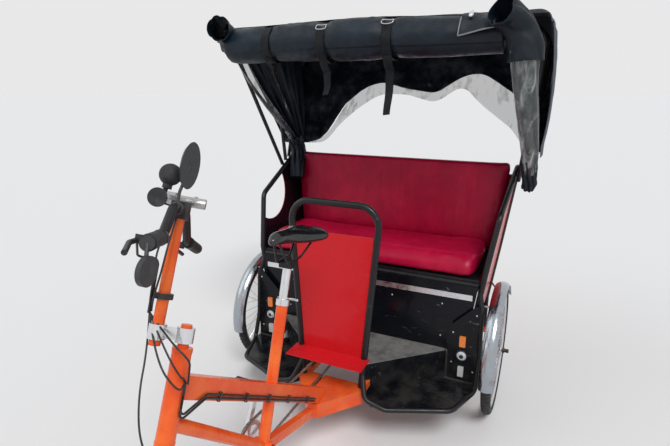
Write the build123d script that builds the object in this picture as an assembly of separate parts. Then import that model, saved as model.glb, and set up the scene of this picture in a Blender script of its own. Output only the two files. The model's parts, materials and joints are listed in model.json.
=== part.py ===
from build123d import *
from math import asin, atan2, cos, degrees, hypot, pi, radians, sin, sqrt, tan
import os

# Cycle rickshaw: a tricycle with the driver in front and a hooded bench behind.
# X points to the vehicle's left, Y to its rear, Z up. Millimetres.
# While it is being modelled, Y is counted from a cross member under the bench.

# Stance
REAR_WHEEL_RADIUS = 305
FRONT_WHEEL_RADIUS = 302
TYRE_WIDTH = 48
HALF_TRACK = 635
REAR_AXLE_Y = 120
SEAT_GAP = 0.3
RUNNING_GAP = 0.05

# Wheels
SPOKE_RADIUS = 1.2
REAR_SPOKES = 36
FRONT_SPOKES = 32
RIM_WIDTH = 32
RIM_DEPTH = 16
TYRE_BEAD_DEPTH = 14
REAR_HUB_WIDTH = 64
FRONT_HUB_WIDTH = 76
HUB_BARREL_RADIUS = 17
HUB_FLANGE_RADIUS = 31
HUB_FLANGE = 4
REAR_AXLE_RADIUS = 9
REAR_NUT = 8
REAR_STUB = 20
FRONT_AXLE_RADIUS = 5

# Front frame, in the vehicle's centre plane
HEAD_LEAN = 22.6
HEAD_TUBE_Y = -1346
HEAD_TUBE_Z = 656
HEAD_TUBE_LENGTH = 221
HEAD_TUBE_RADIUS = 25
HEAD_TUBE_WALL = 4
CUP_HEIGHT = 12
STEERER_RADIUS = 14
BEAM_DEPTH = 60
BEAM_WIDTH = 44
BEAM_FRONT_Y = -1262
BEAM_FRONT_Z = 762
BEAM_REAR_Y = -492
BEAM_REAR_Z = 252
DOWN_TUBE_RADIUS = 19
DOWN_TUBE_START = 45
BRACKET_Y = -926
BRACKET_Z = 322
BRACKET_RADIUS = 23
BRACKET_WIDTH = 72
SEAT_TUBE_RADIUS = 20
SEAT_TUBE_LEAN = 18.4
SEAT_TUBE_LENGTH = 486
SEAT_POST_RADIUS = 15
SEAT_POST_LENGTH = 300
SEAT_POST_SHOWING = 135
SADDLE_RAIL_RADIUS = 4
STRUT_WIDTH = 26
STRUT_DEPTH = 36

# Chassis under the cabin
RAIL_X = 140
RAIL_SIZE = 30
RAIL_Z = 240
YOKE_DEPTH = 66
CHASSIS_FRONT_Y = -368
CHASSIS_REAR_Y = 480
CROSS_X = 552
AXLE_HOUSING_RADIUS = 24
AXLE_HOUSING_HALF = HALF_TRACK - REAR_HUB_WIDTH / 2 - 28
DRIVE_CASE_RADIUS = 52
DRIVE_CASE_WIDTH = 70
CHAIN_LINE = -54

# Drive
CHAIN_PITCH = 12.7
RING_TEETH = 36
SPROCKET_TEETH = 20
TOOTH_THICKNESS = 2
TOOTH_HEIGHT = 4.5
CHAIN_WIDTH = 8
CHAIN_DEPTH = 9
CHAIN_GROOVE = 4
CHAIN_ROOM = 8
CRANK_LENGTH = 170
CRANK_OFFSET = 74
PEDAL_WIDTH = 92
PEDAL_LENGTH = 64
PEDAL_THICKNESS = 22
PEDAL_PIN_RADIUS = 5
CRANK_ANGLE = 62

# Cabin side loops lean outwards going up
SIDE_X = 567.5
SIDE_BASE_Z = 666
SIDE_LEAN = 7.6
SIDE_TUBE_RADIUS = 13
PANEL_THICKNESS = 5
BACK_Y = 505
BACK_TOP_Z = 1165
BACK_PANEL_LOW = 420
BACK_PANEL_TOP = BACK_TOP_Z - 75
HAND_HOLE_Y = 118
HAND_HOLE_Z = 985
HAND_HOLE_RADIUS = 166
REAR_LEG_Y = 517
REAR_LEG_Z = 700

# Bench
BENCH_TUBE_RADIUS = 14
BENCH_FRONT_Y = -20
BENCH_Z = 666
BENCH_REAR_Y = 440
BENCH_BOARD = 10
CUSHION_THICKNESS = 95
CUSHION_HALF = 550
BACKREST_THICKNESS = 70
BACKREST_HALF = 588
BOARD_THICKNESS = 4
BOARD_FACE_Y = BENCH_FRONT_Y - BENCH_TUBE_RADIUS - SEAT_GAP - BOARD_THICKNESS
FLOOR_Z = 340
FLOOR_THICKNESS = 4
FLOOR_FRONT_Y = -324
FLOOR_FRONT_HALF = 138
FLOOR_REAR_HALF = 443
TUNNEL_HALF = 75
TUNNEL_X = -22
TUNNEL_HEIGHT = 95
FLOOR_STRIP = 20

# Steps and lamp panels
STEP_Z = 200
STEP_RIM_RADIUS = 11
STEP_SHELL = 4
STEP_OUTER_X = 584
STEP_RIM_TOP = 640
LAMP_X = 508
LAMP_RADIUS = 21
LAMP_PANEL_Y = -62
TAIL_LAMP_X = 440

# Driver's back hoop
HOOP_RADIUS = 14
HOOP_FOOT_HALF = 140
HOOP_TOP_HALF = 203
HOOP_FOOT_Y = -372
HOOP_TOP_Y = -350
HOOP_TOP_Z = 1057
HOOP_BEND = 85
DRIVER_PANEL_TOP = 930
SHELF_Z = 393
SHELF_DEPTH = 104
SHELF_HALF = 176

# Steering group, along the steering axis from the lower end of the head tube
REST_STEER = -58
FORK_OFFSET = 45
FORK_LEG_X = 56
FORK_LEG_RADIUS = 12
STEM_REACH = 70
STEM_HEIGHT = 38
RISER_RADIUS = 15
RISER_WALL = 2
RISER_BOTTOM = 245
RISER_TOP = 562
BAR_RADIUS = 12
BAR_HALF = 345
BAR_DROP = 92
BAR_BEND = 182
BAR_MIDDLE = 95
BAR_SWEEP = 14
BEND_SWEEP = 4
BEND_RISE = 16
GRIP_LENGTH = 125
GRIP_RADIUS = 17
CABLE_RADIUS = 3
MIRROR_HALF_WIDTH = 32
MIRROR_HALF_HEIGHT = 60
HORN_BULB_RADIUS = 28
HORN_MOUTH_RADIUS = 24
TORCH_RADIUS = 14
TORCH_LENGTH = 92

# Hood
HOOD_HALF = 735
HOOD_THICKNESS = 5
HOOD_FRONT_Y = -130
HOOD_FRONT_Z = 1790
HOOD_CREST_Y = 380
HOOD_CREST_Z = 1822
HOOD_SKIN = 6
HOOD_REAR_Y = 790
HOOD_REAR_Z = 1735
BOW_RADIUS = 10
BOW_SHOULDER = 90
ROLL_RADIUS = 84
ROLL_Y = -92
ROLL_HALF = 650
CURTAIN_RADIUS = 34
CURTAIN_LOW_Z = 1110
CURTAIN_BESIDE = 26
GATHERED_LOW_Z = 1210
GATHERED_OUT = 13.3
STRAP_WIDTH = 38
STRAP_THICKNESS = 2

# Mudguards
GUARD_CLEARANCE = 19
GUARD_WIDTH = 62
GUARD_SHEET = 1.5
GUARD_FRONT = 188
GUARD_REAR = 36
GUARD_CROWN = 14
STAY_RADIUS = 5

os.makedirs("parts", exist_ok=True)
NODES = {}


def keep(name, shape):
    """Stores a finished sub-part under its node name."""
    NODES[name] = shape


def round_bar(points, radius, bends=None):
    """A solid round bar or tube along straight runs joined by tangent arcs."""
    path = Polyline(*points) if len(points) == 2 else FilletPolyline(*points, radius=bends)
    start = Plane(origin=path @ 0, z_dir=path % 0)
    return sweep(start * Circle(radius), path=path)


def rod(start, end, radius):
    """A straight round bar between two points."""
    a = Vector(start)
    b = Vector(end)
    place = Plane(origin=a, z_dir=b - a)
    return extrude(place * Circle(radius), amount=(b - a).length)


def hex_rod(start, end, radius):
    """A straight six-sided bar, as thin as a spoke."""
    a = Vector(start)
    b = Vector(end)
    place = Plane(origin=a, z_dir=b - a)
    return extrude(place * RegularPolygon(radius, 6), amount=(b - a).length)


def square_bar(start, end, width, depth, up=(0, 0, 1)):
    """A rectangular bar between two points, its depth measured towards up."""
    a = Vector(start)
    b = Vector(end)
    along = (b - a).normalized()
    side = Vector(up).cross(along).normalized()
    place = Plane(origin=a, x_dir=side, z_dir=along)
    return extrude(place * Rectangle(width, depth), amount=(b - a).length)


def plate(points, thickness, plane, bends=0):
    """A flat plate from an outline on a plane, with rounded corners if asked."""
    face = make_face(plane * Polyline(*points, close=True))
    if bends:
        face = fillet(face.vertices(), bends)
    return extrude(face, amount=thickness, dir=plane.z_dir)


def mirrored(shape):
    """The same piece on the vehicle's other side."""
    return mirror(shape, about=Plane.YZ)


def both(shape):
    """One piece and its mirror image, as two solids of one node."""
    return Compound(children=[shape.solid(), mirrored(shape).solid()])


def largest(shape):
    """The main solid that a trimmed shape leaves."""
    return shape.solids().sort_by(SortBy.VOLUME)[-1]


# Wheels: axle along X, centre at the origin
def make_tyre(outer_radius):
    """Round tyre section cut flat where it sits on the rim."""
    section_radius = TYRE_WIDTH / 2
    centre = outer_radius - section_radius
    section = Pos(0, centre) * Circle(section_radius)
    bead = centre - section_radius + TYRE_BEAD_DEPTH
    section -= Pos(0, bead - section_radius) * Rectangle(TYRE_WIDTH * 2, section_radius * 2)
    return revolve(Plane.XY * section, Axis.X)


def rim_outer(outer_radius):
    """Radius of the rim's bed, under the tyre's bead."""
    return outer_radius - TYRE_WIDTH + TYRE_BEAD_DEPTH - SEAT_GAP


def make_wheel(outer_radius, hub_width, bore_radius, spokes):
    """Rim, hub and crossed spokes as one laced wheel."""
    bed = rim_outer(outer_radius)
    half = RIM_WIDTH / 2
    inner = bed - RIM_DEPTH
    outline = Polyline((-half, bed), (half, bed), (half, bed - RIM_DEPTH / 2), (half / 2, inner),
                       (-half / 2, inner), (-half, bed - RIM_DEPTH / 2), close=True)
    rim = revolve(make_face(outline), Axis.X)
    flange_x = hub_width / 2 - HUB_FLANGE * 2
    barrel = Cylinder(HUB_BARREL_RADIUS, hub_width - 2 * HUB_FLANGE)
    for side in (-1, 1):
        barrel += Pos(0, 0, side * flange_x) * Cylinder(HUB_FLANGE_RADIUS, HUB_FLANGE)
    barrel -= Cylinder(bore_radius + RUNNING_GAP, hub_width * 2)
    hub = Rot(0, 90, 0) * barrel
    pieces = [rim, hub]
    step = 360 / spokes
    for i in range(spokes):
        side = 1 if i % 2 else -1
        crossing = 1 if (i // 2) % 2 else -1
        rim_angle = radians(i * step)
        hub_angle = radians(i * step + crossing * 62)
        hub_x = side * (flange_x + crossing * 2)
        reach = HUB_FLANGE_RADIUS - 4
        start = (hub_x, reach * cos(hub_angle), reach * sin(hub_angle))
        end = (side * 2, (inner - SEAT_GAP) * cos(rim_angle), (inner - SEAT_GAP) * sin(rim_angle))
        pieces.append(hex_rod(start, end, SPOKE_RADIUS))
    return Compound(children=[piece.solid() if hasattr(piece, "solid") else piece for piece in pieces])


def add_rear_wheels():
    tyre = make_tyre(REAR_WHEEL_RADIUS)
    wheel = make_wheel(REAR_WHEEL_RADIUS, REAR_HUB_WIDTH, REAR_AXLE_RADIUS, REAR_SPOKES)
    for name, side in (("left", 1), ("right", -1)):
        place = Pos(side * HALF_TRACK, REAR_AXLE_Y, REAR_WHEEL_RADIUS)
        keep(f"rear_tyre_{name}", place * tyre)
        keep(f"rear_wheel_{name}", place * wheel)


# Steering frame: Z runs up the steering axis, -Y points ahead of the turned fork
head_lean = radians(HEAD_LEAN)
STRAIGHT = Plane(origin=(0, HEAD_TUBE_Y, HEAD_TUBE_Z), x_dir=(1, 0, 0),
                 z_dir=(0, sin(head_lean), cos(head_lean)))
TURNED = STRAIGHT.location * Rot(0, 0, REST_STEER)


def hub_drop():
    """How far below the head tube the hub lies, so that the turned wheel touches the ground."""
    axle_tilt = sin(head_lean) * sin(radians(REST_STEER))
    centre_circle = FRONT_WHEEL_RADIUS - TYRE_WIDTH / 2
    hub_height = centre_circle * sqrt(1 - axle_tilt ** 2) + TYRE_WIDTH / 2
    rise = FORK_OFFSET * sin(head_lean) * cos(radians(REST_STEER))
    return (HEAD_TUBE_Z + rise - hub_height) / cos(head_lean)


HUB_DROP = hub_drop()


def add_front_wheel():
    place = TURNED * Pos(0, -FORK_OFFSET, -HUB_DROP)
    keep("front_tyre", place * make_tyre(FRONT_WHEEL_RADIUS))
    keep("front_wheel", place * make_wheel(FRONT_WHEEL_RADIUS, FRONT_HUB_WIDTH, FRONT_AXLE_RADIUS, FRONT_SPOKES))


# Front frame
def pitch_radius_of(teeth):
    """Radius of a chain wheel's pitch circle."""
    return CHAIN_PITCH / (2 * sin(pi / teeth))


def chain_run_height(y):
    """Height of the chain's lower run between the two toothed rings."""
    front = BRACKET_Z - pitch_radius_of(RING_TEETH)
    back = REAR_WHEEL_RADIUS - pitch_radius_of(SPROCKET_TEETH)
    return front + (back - front) * (y - BRACKET_Y) / (REAR_AXLE_Y - BRACKET_Y)


def seat_tube_point(distance):
    """A point up the seat tube from the crank axle."""
    lean = radians(SEAT_TUBE_LEAN)
    return (0, BRACKET_Y + distance * sin(lean), BRACKET_Z + distance * cos(lean))


def head_point(distance):
    """A point up the steering axis from the head tube's lower end."""
    return (0, HEAD_TUBE_Y + distance * sin(head_lean), HEAD_TUBE_Z + distance * cos(head_lean))


def add_front_frame():
    head_shell = STRAIGHT * Pos(0, 0, HEAD_TUBE_LENGTH / 2) * Cylinder(HEAD_TUBE_RADIUS, HEAD_TUBE_LENGTH)
    head_bore = STRAIGHT * Pos(0, 0, HEAD_TUBE_LENGTH / 2) * Cylinder(
        HEAD_TUBE_RADIUS - HEAD_TUBE_WALL, HEAD_TUBE_LENGTH + 2)
    pieces = [(head_shell - head_bore).solid()]
    for low in (-CUP_HEIGHT, HEAD_TUBE_LENGTH + SEAT_GAP):
        middle = low + CUP_HEIGHT / 2
        ring = Pos(0, 0, middle) * Cylinder(HEAD_TUBE_RADIUS + 1, CUP_HEIGHT - SEAT_GAP)
        ring -= Pos(0, 0, middle) * Cylinder(STEERER_RADIUS + RUNNING_GAP, CUP_HEIGHT + 2)
        pieces.append((STRAIGHT * ring).solid())
    keep("head_tube", Compound(children=pieces))

    seat_outer = rod(seat_tube_point(0), seat_tube_point(SEAT_TUBE_LENGTH), SEAT_TUBE_RADIUS)
    seat_bore = rod(seat_tube_point(SEAT_TUBE_LENGTH - SEAT_POST_LENGTH + SEAT_POST_SHOWING - 10),
                    seat_tube_point(SEAT_TUBE_LENGTH + 1), SEAT_POST_RADIUS + SEAT_GAP)
    bracket_shell = Pos(0, BRACKET_Y, BRACKET_Z) * Rot(0, 90, 0) * Cylinder(BRACKET_RADIUS, BRACKET_WIDTH)
    bracket_bore = Pos(0, BRACKET_Y, BRACKET_Z) * Rot(0, 90, 0) * Cylinder(
        BRACKET_RADIUS - 6, BRACKET_WIDTH + 2)
    keep("bottom_bracket", bracket_shell - bracket_bore)
    seat_tube = seat_outer - bracket_shell - bracket_bore - seat_bore
    keep("seat_tube", seat_tube)

    beam_start = (0, BEAM_FRONT_Y - 30, BEAM_FRONT_Z + 20)
    beam = square_bar(beam_start, (0, BEAM_REAR_Y, BEAM_REAR_Z), BEAM_WIDTH, BEAM_DEPTH)
    beam -= head_shell + head_bore + seat_outer
    keep("main_beam", largest(beam))

    down = rod(head_point(DOWN_TUBE_START), (0, BRACKET_Y, BRACKET_Z), DOWN_TUBE_RADIUS)
    down = down - head_shell - head_bore - bracket_shell - bracket_bore - seat_outer
    keep("down_tube", largest(down))

    strut_end = (0, BEAM_REAR_Y - 91, BEAM_REAR_Z - 26)
    strut = square_bar((0, BRACKET_Y, BRACKET_Z), strut_end, STRUT_WIDTH, STRUT_DEPTH)
    strut = strut - bracket_shell - bracket_bore - seat_outer
    strut = strut - square_bar(beam_start, (0, BEAM_REAR_Y, BEAM_REAR_Z), BEAM_WIDTH, BEAM_DEPTH)
    strut = largest(strut)

    yoke_half = RAIL_X + RAIL_SIZE / 2
    yoke_outline = [(-yoke_half, CHASSIS_FRONT_Y + RAIL_SIZE / 2), (-yoke_half, CHASSIS_FRONT_Y - 25),
                    (-BEAM_WIDTH / 2, BEAM_REAR_Y - 70), (BEAM_WIDTH / 2, BEAM_REAR_Y - 70),
                    (yoke_half, CHASSIS_FRONT_Y - 25), (yoke_half, CHASSIS_FRONT_Y + RAIL_SIZE / 2)]
    yoke = plate(yoke_outline, YOKE_DEPTH, Plane.XY.offset(RAIL_Z + RAIL_SIZE / 2 - YOKE_DEPTH))
    beam_solid = square_bar(beam_start, (0, BEAM_REAR_Y, BEAM_REAR_Z), BEAM_WIDTH + 1, BEAM_DEPTH + 1)
    yoke = yoke - beam_solid - strut
    chain_low = chain_run_height(BEAM_REAR_Y) - CHAIN_DEPTH - CHAIN_ROOM
    yoke -= Pos(CHAIN_LINE, BEAM_REAR_Y, chain_low + YOKE_DEPTH / 2) * Box(
        CHAIN_WIDTH + 2 * CHAIN_ROOM, 400, YOKE_DEPTH)
    keep("chassis_yoke", Compound(children=[largest(yoke), strut]))


def add_saddle():
    top = SEAT_TUBE_LENGTH + SEAT_POST_SHOWING
    post = rod(seat_tube_point(top - SEAT_POST_LENGTH), seat_tube_point(top), SEAT_POST_RADIUS)
    keep("seat_post", post)
    collar = rod(seat_tube_point(SEAT_TUBE_LENGTH + SEAT_GAP), seat_tube_point(SEAT_TUBE_LENGTH + 22),
                 SEAT_TUBE_RADIUS + 3)
    collar -= rod(seat_tube_point(SEAT_TUBE_LENGTH - 1), seat_tube_point(SEAT_TUBE_LENGTH + 30),
                  SEAT_POST_RADIUS + SEAT_GAP)
    y, z = seat_tube_point(SEAT_TUBE_LENGTH + 11)[1:]
    lever = round_bar([(-8, y + 26, z), (14, y + 34, z), (44, y + 26, z + 4)], 4, 8)
    keep("seat_collar", Compound(children=[collar.solid(), lever.solid()]))

    clamp_y, clamp_z = seat_tube_point(top)[1:]
    clamp = Pos(0, clamp_y + 6, clamp_z + 8) * Box(50, 46, 18)
    clamp -= rod(seat_tube_point(top - 40), seat_tube_point(top + SEAT_GAP), SEAT_POST_RADIUS + SEAT_GAP)
    rail_z = clamp_z + 17 + SADDLE_RAIL_RADIUS + SEAT_GAP
    rails = []
    rail_room = []
    for side in (-1, 1):
        path = [(side * 10, clamp_y - 66, clamp_z + 104), (side * 22, clamp_y - 34, rail_z),
                (side * 22, clamp_y + 54, rail_z), (side * 36, clamp_y + 122, clamp_z + 66)]
        rails.append(round_bar(path, SADDLE_RAIL_RADIUS, 20))
        rail_room.append(round_bar(path, SADDLE_RAIL_RADIUS + SEAT_GAP, 20))
    keep("saddle_rails", Compound(children=[clamp.solid()] + [rail.solid() for rail in rails]))

    # Raised narrow nose, waist, then the wide rear, each a flattened round section
    stations = (  # back, half width, depth, height
        (-94, 13, 22, 116), (-66, 23, 42, 120), (0, 31, 50, 108), (78, 62, 56, 92), (142, 84, 56, 84),
        (176, 66, 36, 84))
    sections = []
    for back, half_width, depth, height in stations:
        section = Plane(origin=(0, clamp_y + back, clamp_z + height), x_dir=(1, 0, 0), z_dir=(0, -1, 0))
        sections.append(section * Ellipse(half_width, depth / 2))
    saddle = loft(sections, ruled=False)
    for room in rail_room:
        saddle -= room
    keep("saddle", largest(saddle))


# Chassis
def add_chassis():
    pieces = []
    for side in (-1, 1):
        x = side * RAIL_X
        pieces.append(Pos(x, (CHASSIS_FRONT_Y + RAIL_SIZE / 2 + CHASSIS_REAR_Y) / 2, RAIL_Z) * Box(
            RAIL_SIZE, CHASSIS_REAR_Y - CHASSIS_FRONT_Y - RAIL_SIZE / 2, RAIL_SIZE))
        pieces.append(Pos(x, REAR_AXLE_Y, (RAIL_Z + REAR_WHEEL_RADIUS) / 2) * Box(
            RAIL_SIZE, 56, REAR_WHEEL_RADIUS - RAIL_Z))
    inner = 2 * RAIL_X - RAIL_SIZE
    for y in (BENCH_FRONT_Y, BENCH_REAR_Y):
        pieces.append(Pos(0, y, RAIL_Z) * Box(inner, RAIL_SIZE, RAIL_SIZE))
        for side in (-1, 1):
            outer = CROSS_X - RAIL_X - RAIL_SIZE / 2
            x = side * (RAIL_X + RAIL_SIZE / 2 + outer / 2)
            pieces.append(Pos(x, y, RAIL_Z) * Box(outer, RAIL_SIZE, RAIL_SIZE))
    chassis = pieces[0]
    for piece in pieces[1:]:
        chassis += piece
    axle_middle = Pos(0, REAR_AXLE_Y, REAR_WHEEL_RADIUS) * Rot(0, 90, 0)
    housing = axle_middle * Cylinder(AXLE_HOUSING_RADIUS, 2 * AXLE_HOUSING_HALF)
    chassis -= housing
    keep("chassis", chassis)

    axle = housing + axle_middle * Cylinder(DRIVE_CASE_RADIUS, DRIVE_CASE_WIDTH)
    for side in (-1, 1):
        hub_end = HALF_TRACK + REAR_HUB_WIDTH / 2
        start = (side * AXLE_HOUSING_HALF, REAR_AXLE_Y, REAR_WHEEL_RADIUS)
        end = (side * (hub_end + REAR_NUT + REAR_STUB), REAR_AXLE_Y, REAR_WHEEL_RADIUS)
        nut = Pos(side * (hub_end + REAR_NUT / 2), REAR_AXLE_Y, REAR_WHEEL_RADIUS) * Rot(0, 90, 0)
        axle += rod(start, end, REAR_AXLE_RADIUS)
        axle += nut * extrude(RegularPolygon(15, 6), amount=REAR_NUT / 2, both=True)

    look_along_x = Plane(origin=(CHAIN_LINE, 0, 0), x_dir=(0, 1, 0), z_dir=(1, 0, 0))
    sprocket = look_along_x * Pos(REAR_AXLE_Y, REAR_WHEEL_RADIUS) * tooth_ring(
        SPROCKET_TEETH, 0, AXLE_HOUSING_RADIUS + SEAT_GAP)
    keep("rear_axle", Compound(children=[axle.solid(), sprocket.solid()]))


def tooth_ring(teeth, body_radius, bore_radius):
    """A flat toothed ring: pointed teeth around a disc."""
    root = pitch_radius_of(teeth) - 3
    tip = root + TOOTH_HEIGHT
    points = []
    for i in range(teeth):
        middle = 2 * pi * i / teeth
        quarter = pi / teeth
        for radius, turn in ((root, -quarter * 0.8), (tip, -quarter * 0.25), (tip, quarter * 0.25),
                             (root, quarter * 0.8)):
            points.append((radius * cos(middle + turn), radius * sin(middle + turn)))
    face = make_face(Polyline(*points, close=True)) - Circle(bore_radius)
    if body_radius:
        face = face - Circle(body_radius)
    return extrude(face, amount=TOOTH_THICKNESS / 2, both=True)


def pedal_centre(side):
    """Where a pedal's middle is, on its crank arm."""
    angle = radians(CRANK_ANGLE if side < 0 else CRANK_ANGLE + 180)
    return (side * (CRANK_OFFSET + 10 + PEDAL_WIDTH / 2), BRACKET_Y + CRANK_LENGTH * cos(angle),
            BRACKET_Z + CRANK_LENGTH * sin(angle))


def add_drive():
    ring_radius = pitch_radius_of(RING_TEETH)
    sprocket_radius = pitch_radius_of(SPROCKET_TEETH)
    look_along_x = Plane(origin=(CHAIN_LINE, 0, 0), x_dir=(0, 1, 0), z_dir=(1, 0, 0))
    spider_half = ring_radius - 16
    ring = tooth_ring(RING_TEETH, spider_half, 1)
    keep("chainring", look_along_x * Pos(BRACKET_Y, BRACKET_Z) * ring)

    # The chain is one loop of channel section, its groove towards the teeth
    distance = hypot(REAR_AXLE_Y - BRACKET_Y, REAR_WHEEL_RADIUS - BRACKET_Z)
    slope = atan2(REAR_WHEEL_RADIUS - BRACKET_Z, REAR_AXLE_Y - BRACKET_Y)
    turn = asin((ring_radius - sprocket_radius) / distance)

    def loop(extra):
        """The belt outline round both toothed rings, this much outside their pitch line."""
        front = ring_radius + extra
        back = sprocket_radius + extra
        up = pi / 2 - turn + slope
        down = -pi / 2 + turn + slope
        top_front = (BRACKET_Y + front * cos(up), BRACKET_Z + front * sin(up))
        top_back = (REAR_AXLE_Y + back * cos(up), REAR_WHEEL_RADIUS + back * sin(up))
        low_front = (BRACKET_Y + front * cos(down), BRACKET_Z + front * sin(down))
        low_back = (REAR_AXLE_Y + back * cos(down), REAR_WHEEL_RADIUS + back * sin(down))
        nose = (BRACKET_Y - front * cos(slope), BRACKET_Z - front * sin(slope))
        tail = (REAR_AXLE_Y + back * cos(slope), REAR_WHEEL_RADIUS + back * sin(slope))
        edges = [Line(top_front, top_back), ThreePointArc(top_back, tail, low_back),
                 Line(low_back, low_front), ThreePointArc(low_front, nose, top_front)]
        return make_face(edges)

    half_depth = CHAIN_DEPTH / 2
    belt = loop(half_depth) - loop(-half_depth)
    groove = loop(half_depth - 2) - loop(-half_depth - 1)
    solid = extrude(belt, amount=CHAIN_WIDTH / 2, both=True)
    solid -= extrude(groove, amount=CHAIN_GROOVE / 2, both=True)
    keep("chain", look_along_x * solid)

    # Crank set: axle, two arms with their pedal pins and the spider that carries the ring
    axle = Rot(0, 90, 0) * Cylinder(8, 2 * CRANK_OFFSET + 12)
    crank = axle
    for side in (-1, 1):
        angle = radians(CRANK_ANGLE if side < 0 else CRANK_ANGLE + 180)
        tip = (side * CRANK_OFFSET, CRANK_LENGTH * cos(angle), CRANK_LENGTH * sin(angle))
        arm = square_bar((side * CRANK_OFFSET, 0, 0), tip, 24, 12, up=(1, 0, 0))
        crank += arm
        crank += Pos(side * CRANK_OFFSET, 0, 0) * Rot(0, 90, 0) * Cylinder(17, 14)
        crank += Pos(*tip) * Rot(0, 90, 0) * Cylinder(13, 12)
        pin_end = (side * (CRANK_OFFSET + 6 + 4 + PEDAL_WIDTH), tip[1], tip[2])
        crank += rod(tip, pin_end, PEDAL_PIN_RADIUS)
    spider_x = CHAIN_LINE - TOOTH_THICKNESS / 2 - 3
    crank += Pos(spider_x, 0, 0) * Rot(0, 90, 0) * Cylinder(22, 6)
    for i in range(5):
        angle = radians(72 * i + 20)
        reach = spider_half + 8
        crank += square_bar((spider_x, 12 * cos(angle), 12 * sin(angle)),
                            (spider_x, reach * cos(angle), reach * sin(angle)), 14, 6, up=(1, 0, 0))
    crank += Pos((spider_x - CRANK_OFFSET) / 2, 0, 0) * Rot(0, 90, 0) * Cylinder(12, CRANK_OFFSET + spider_x)
    keep("crank_set", Pos(0, BRACKET_Y, BRACKET_Z) * crank)

    for name, side in (("left", 1), ("right", -1)):
        x, y, z = pedal_centre(side)
        body = Box(PEDAL_WIDTH, PEDAL_LENGTH, PEDAL_THICKNESS)
        for across in (-1, 1):
            body -= Pos(0, across * 17, 0) * Box(PEDAL_WIDTH - 24, 18, PEDAL_THICKNESS + 2)
        body -= Rot(0, 90, 0) * Cylinder(PEDAL_PIN_RADIUS + RUNNING_GAP, PEDAL_WIDTH + 20)
        keep(f"pedal_{name}", Pos(x, y, z) * body)


# Cabin sides
def side_x(z):
    """How far out the side loop is at a height."""
    return SIDE_X + (z - SIDE_BASE_Z) * tan(radians(SIDE_LEAN))


def side_point(y, z):
    return (side_x(z), y, z)


lean = radians(SIDE_LEAN)
SIDE_PLANE = Plane(origin=(side_x(0), 0, 0), x_dir=(0, 1, 0), z_dir=(cos(lean), 0, -sin(lean)))


def on_side(y, z):
    """Coordinates in the leaning plane of the left side loop."""
    return (y, z / cos(lean))


ARMREST_FRONT = (60, 965)
ARMREST_REAR = (BACK_Y, BACK_TOP_Z)


def add_cabin_sides():
    # The front leg stands on the cross member, its square-cut end tilted by the lean
    foot_z = RAIL_Z + RAIL_SIZE / 2 + SIDE_TUBE_RADIUS * sin(lean) + SEAT_GAP
    front_foot = side_point(BENCH_FRONT_Y, foot_z)
    rear_foot = (CROSS_X - 15, BENCH_REAR_Y, RAIL_Z + RAIL_SIZE / 2 + 4)
    path = [front_foot, side_point(BENCH_FRONT_Y, 700), side_point(*ARMREST_FRONT), side_point(*ARMREST_REAR),
            side_point(REAR_LEG_Y, REAR_LEG_Z), side_point(BENCH_REAR_Y + 30, 420), rear_foot]
    bends = [60, 55, 60, 60, 60]
    keep("side_loops", both(round_bar(path, SIDE_TUBE_RADIUS, bends)))

    outline = [on_side(BENCH_FRONT_Y, 452), on_side(BENCH_FRONT_Y, 700), on_side(*ARMREST_FRONT), on_side(BACK_Y - 8, 1158),
               on_side(BACK_Y, 700), on_side(BACK_Y - 42, 430), on_side(130, 430)]
    panel = plate(outline, PANEL_THICKNESS, SIDE_PLANE.offset(-PANEL_THICKNESS / 2))
    # A round bite out of the upper front corner leaves a hand hole beside the armrest tube
    hole = SIDE_PLANE.offset(-20) * Pos(*on_side(HAND_HOLE_Y, HAND_HOLE_Z))
    panel -= hole * extrude(Circle(HAND_HOLE_RADIUS), amount=40)
    panel -= round_bar(path, SIDE_TUBE_RADIUS + SEAT_GAP, bends)
    keep("side_panels", both(largest(panel)))


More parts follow.
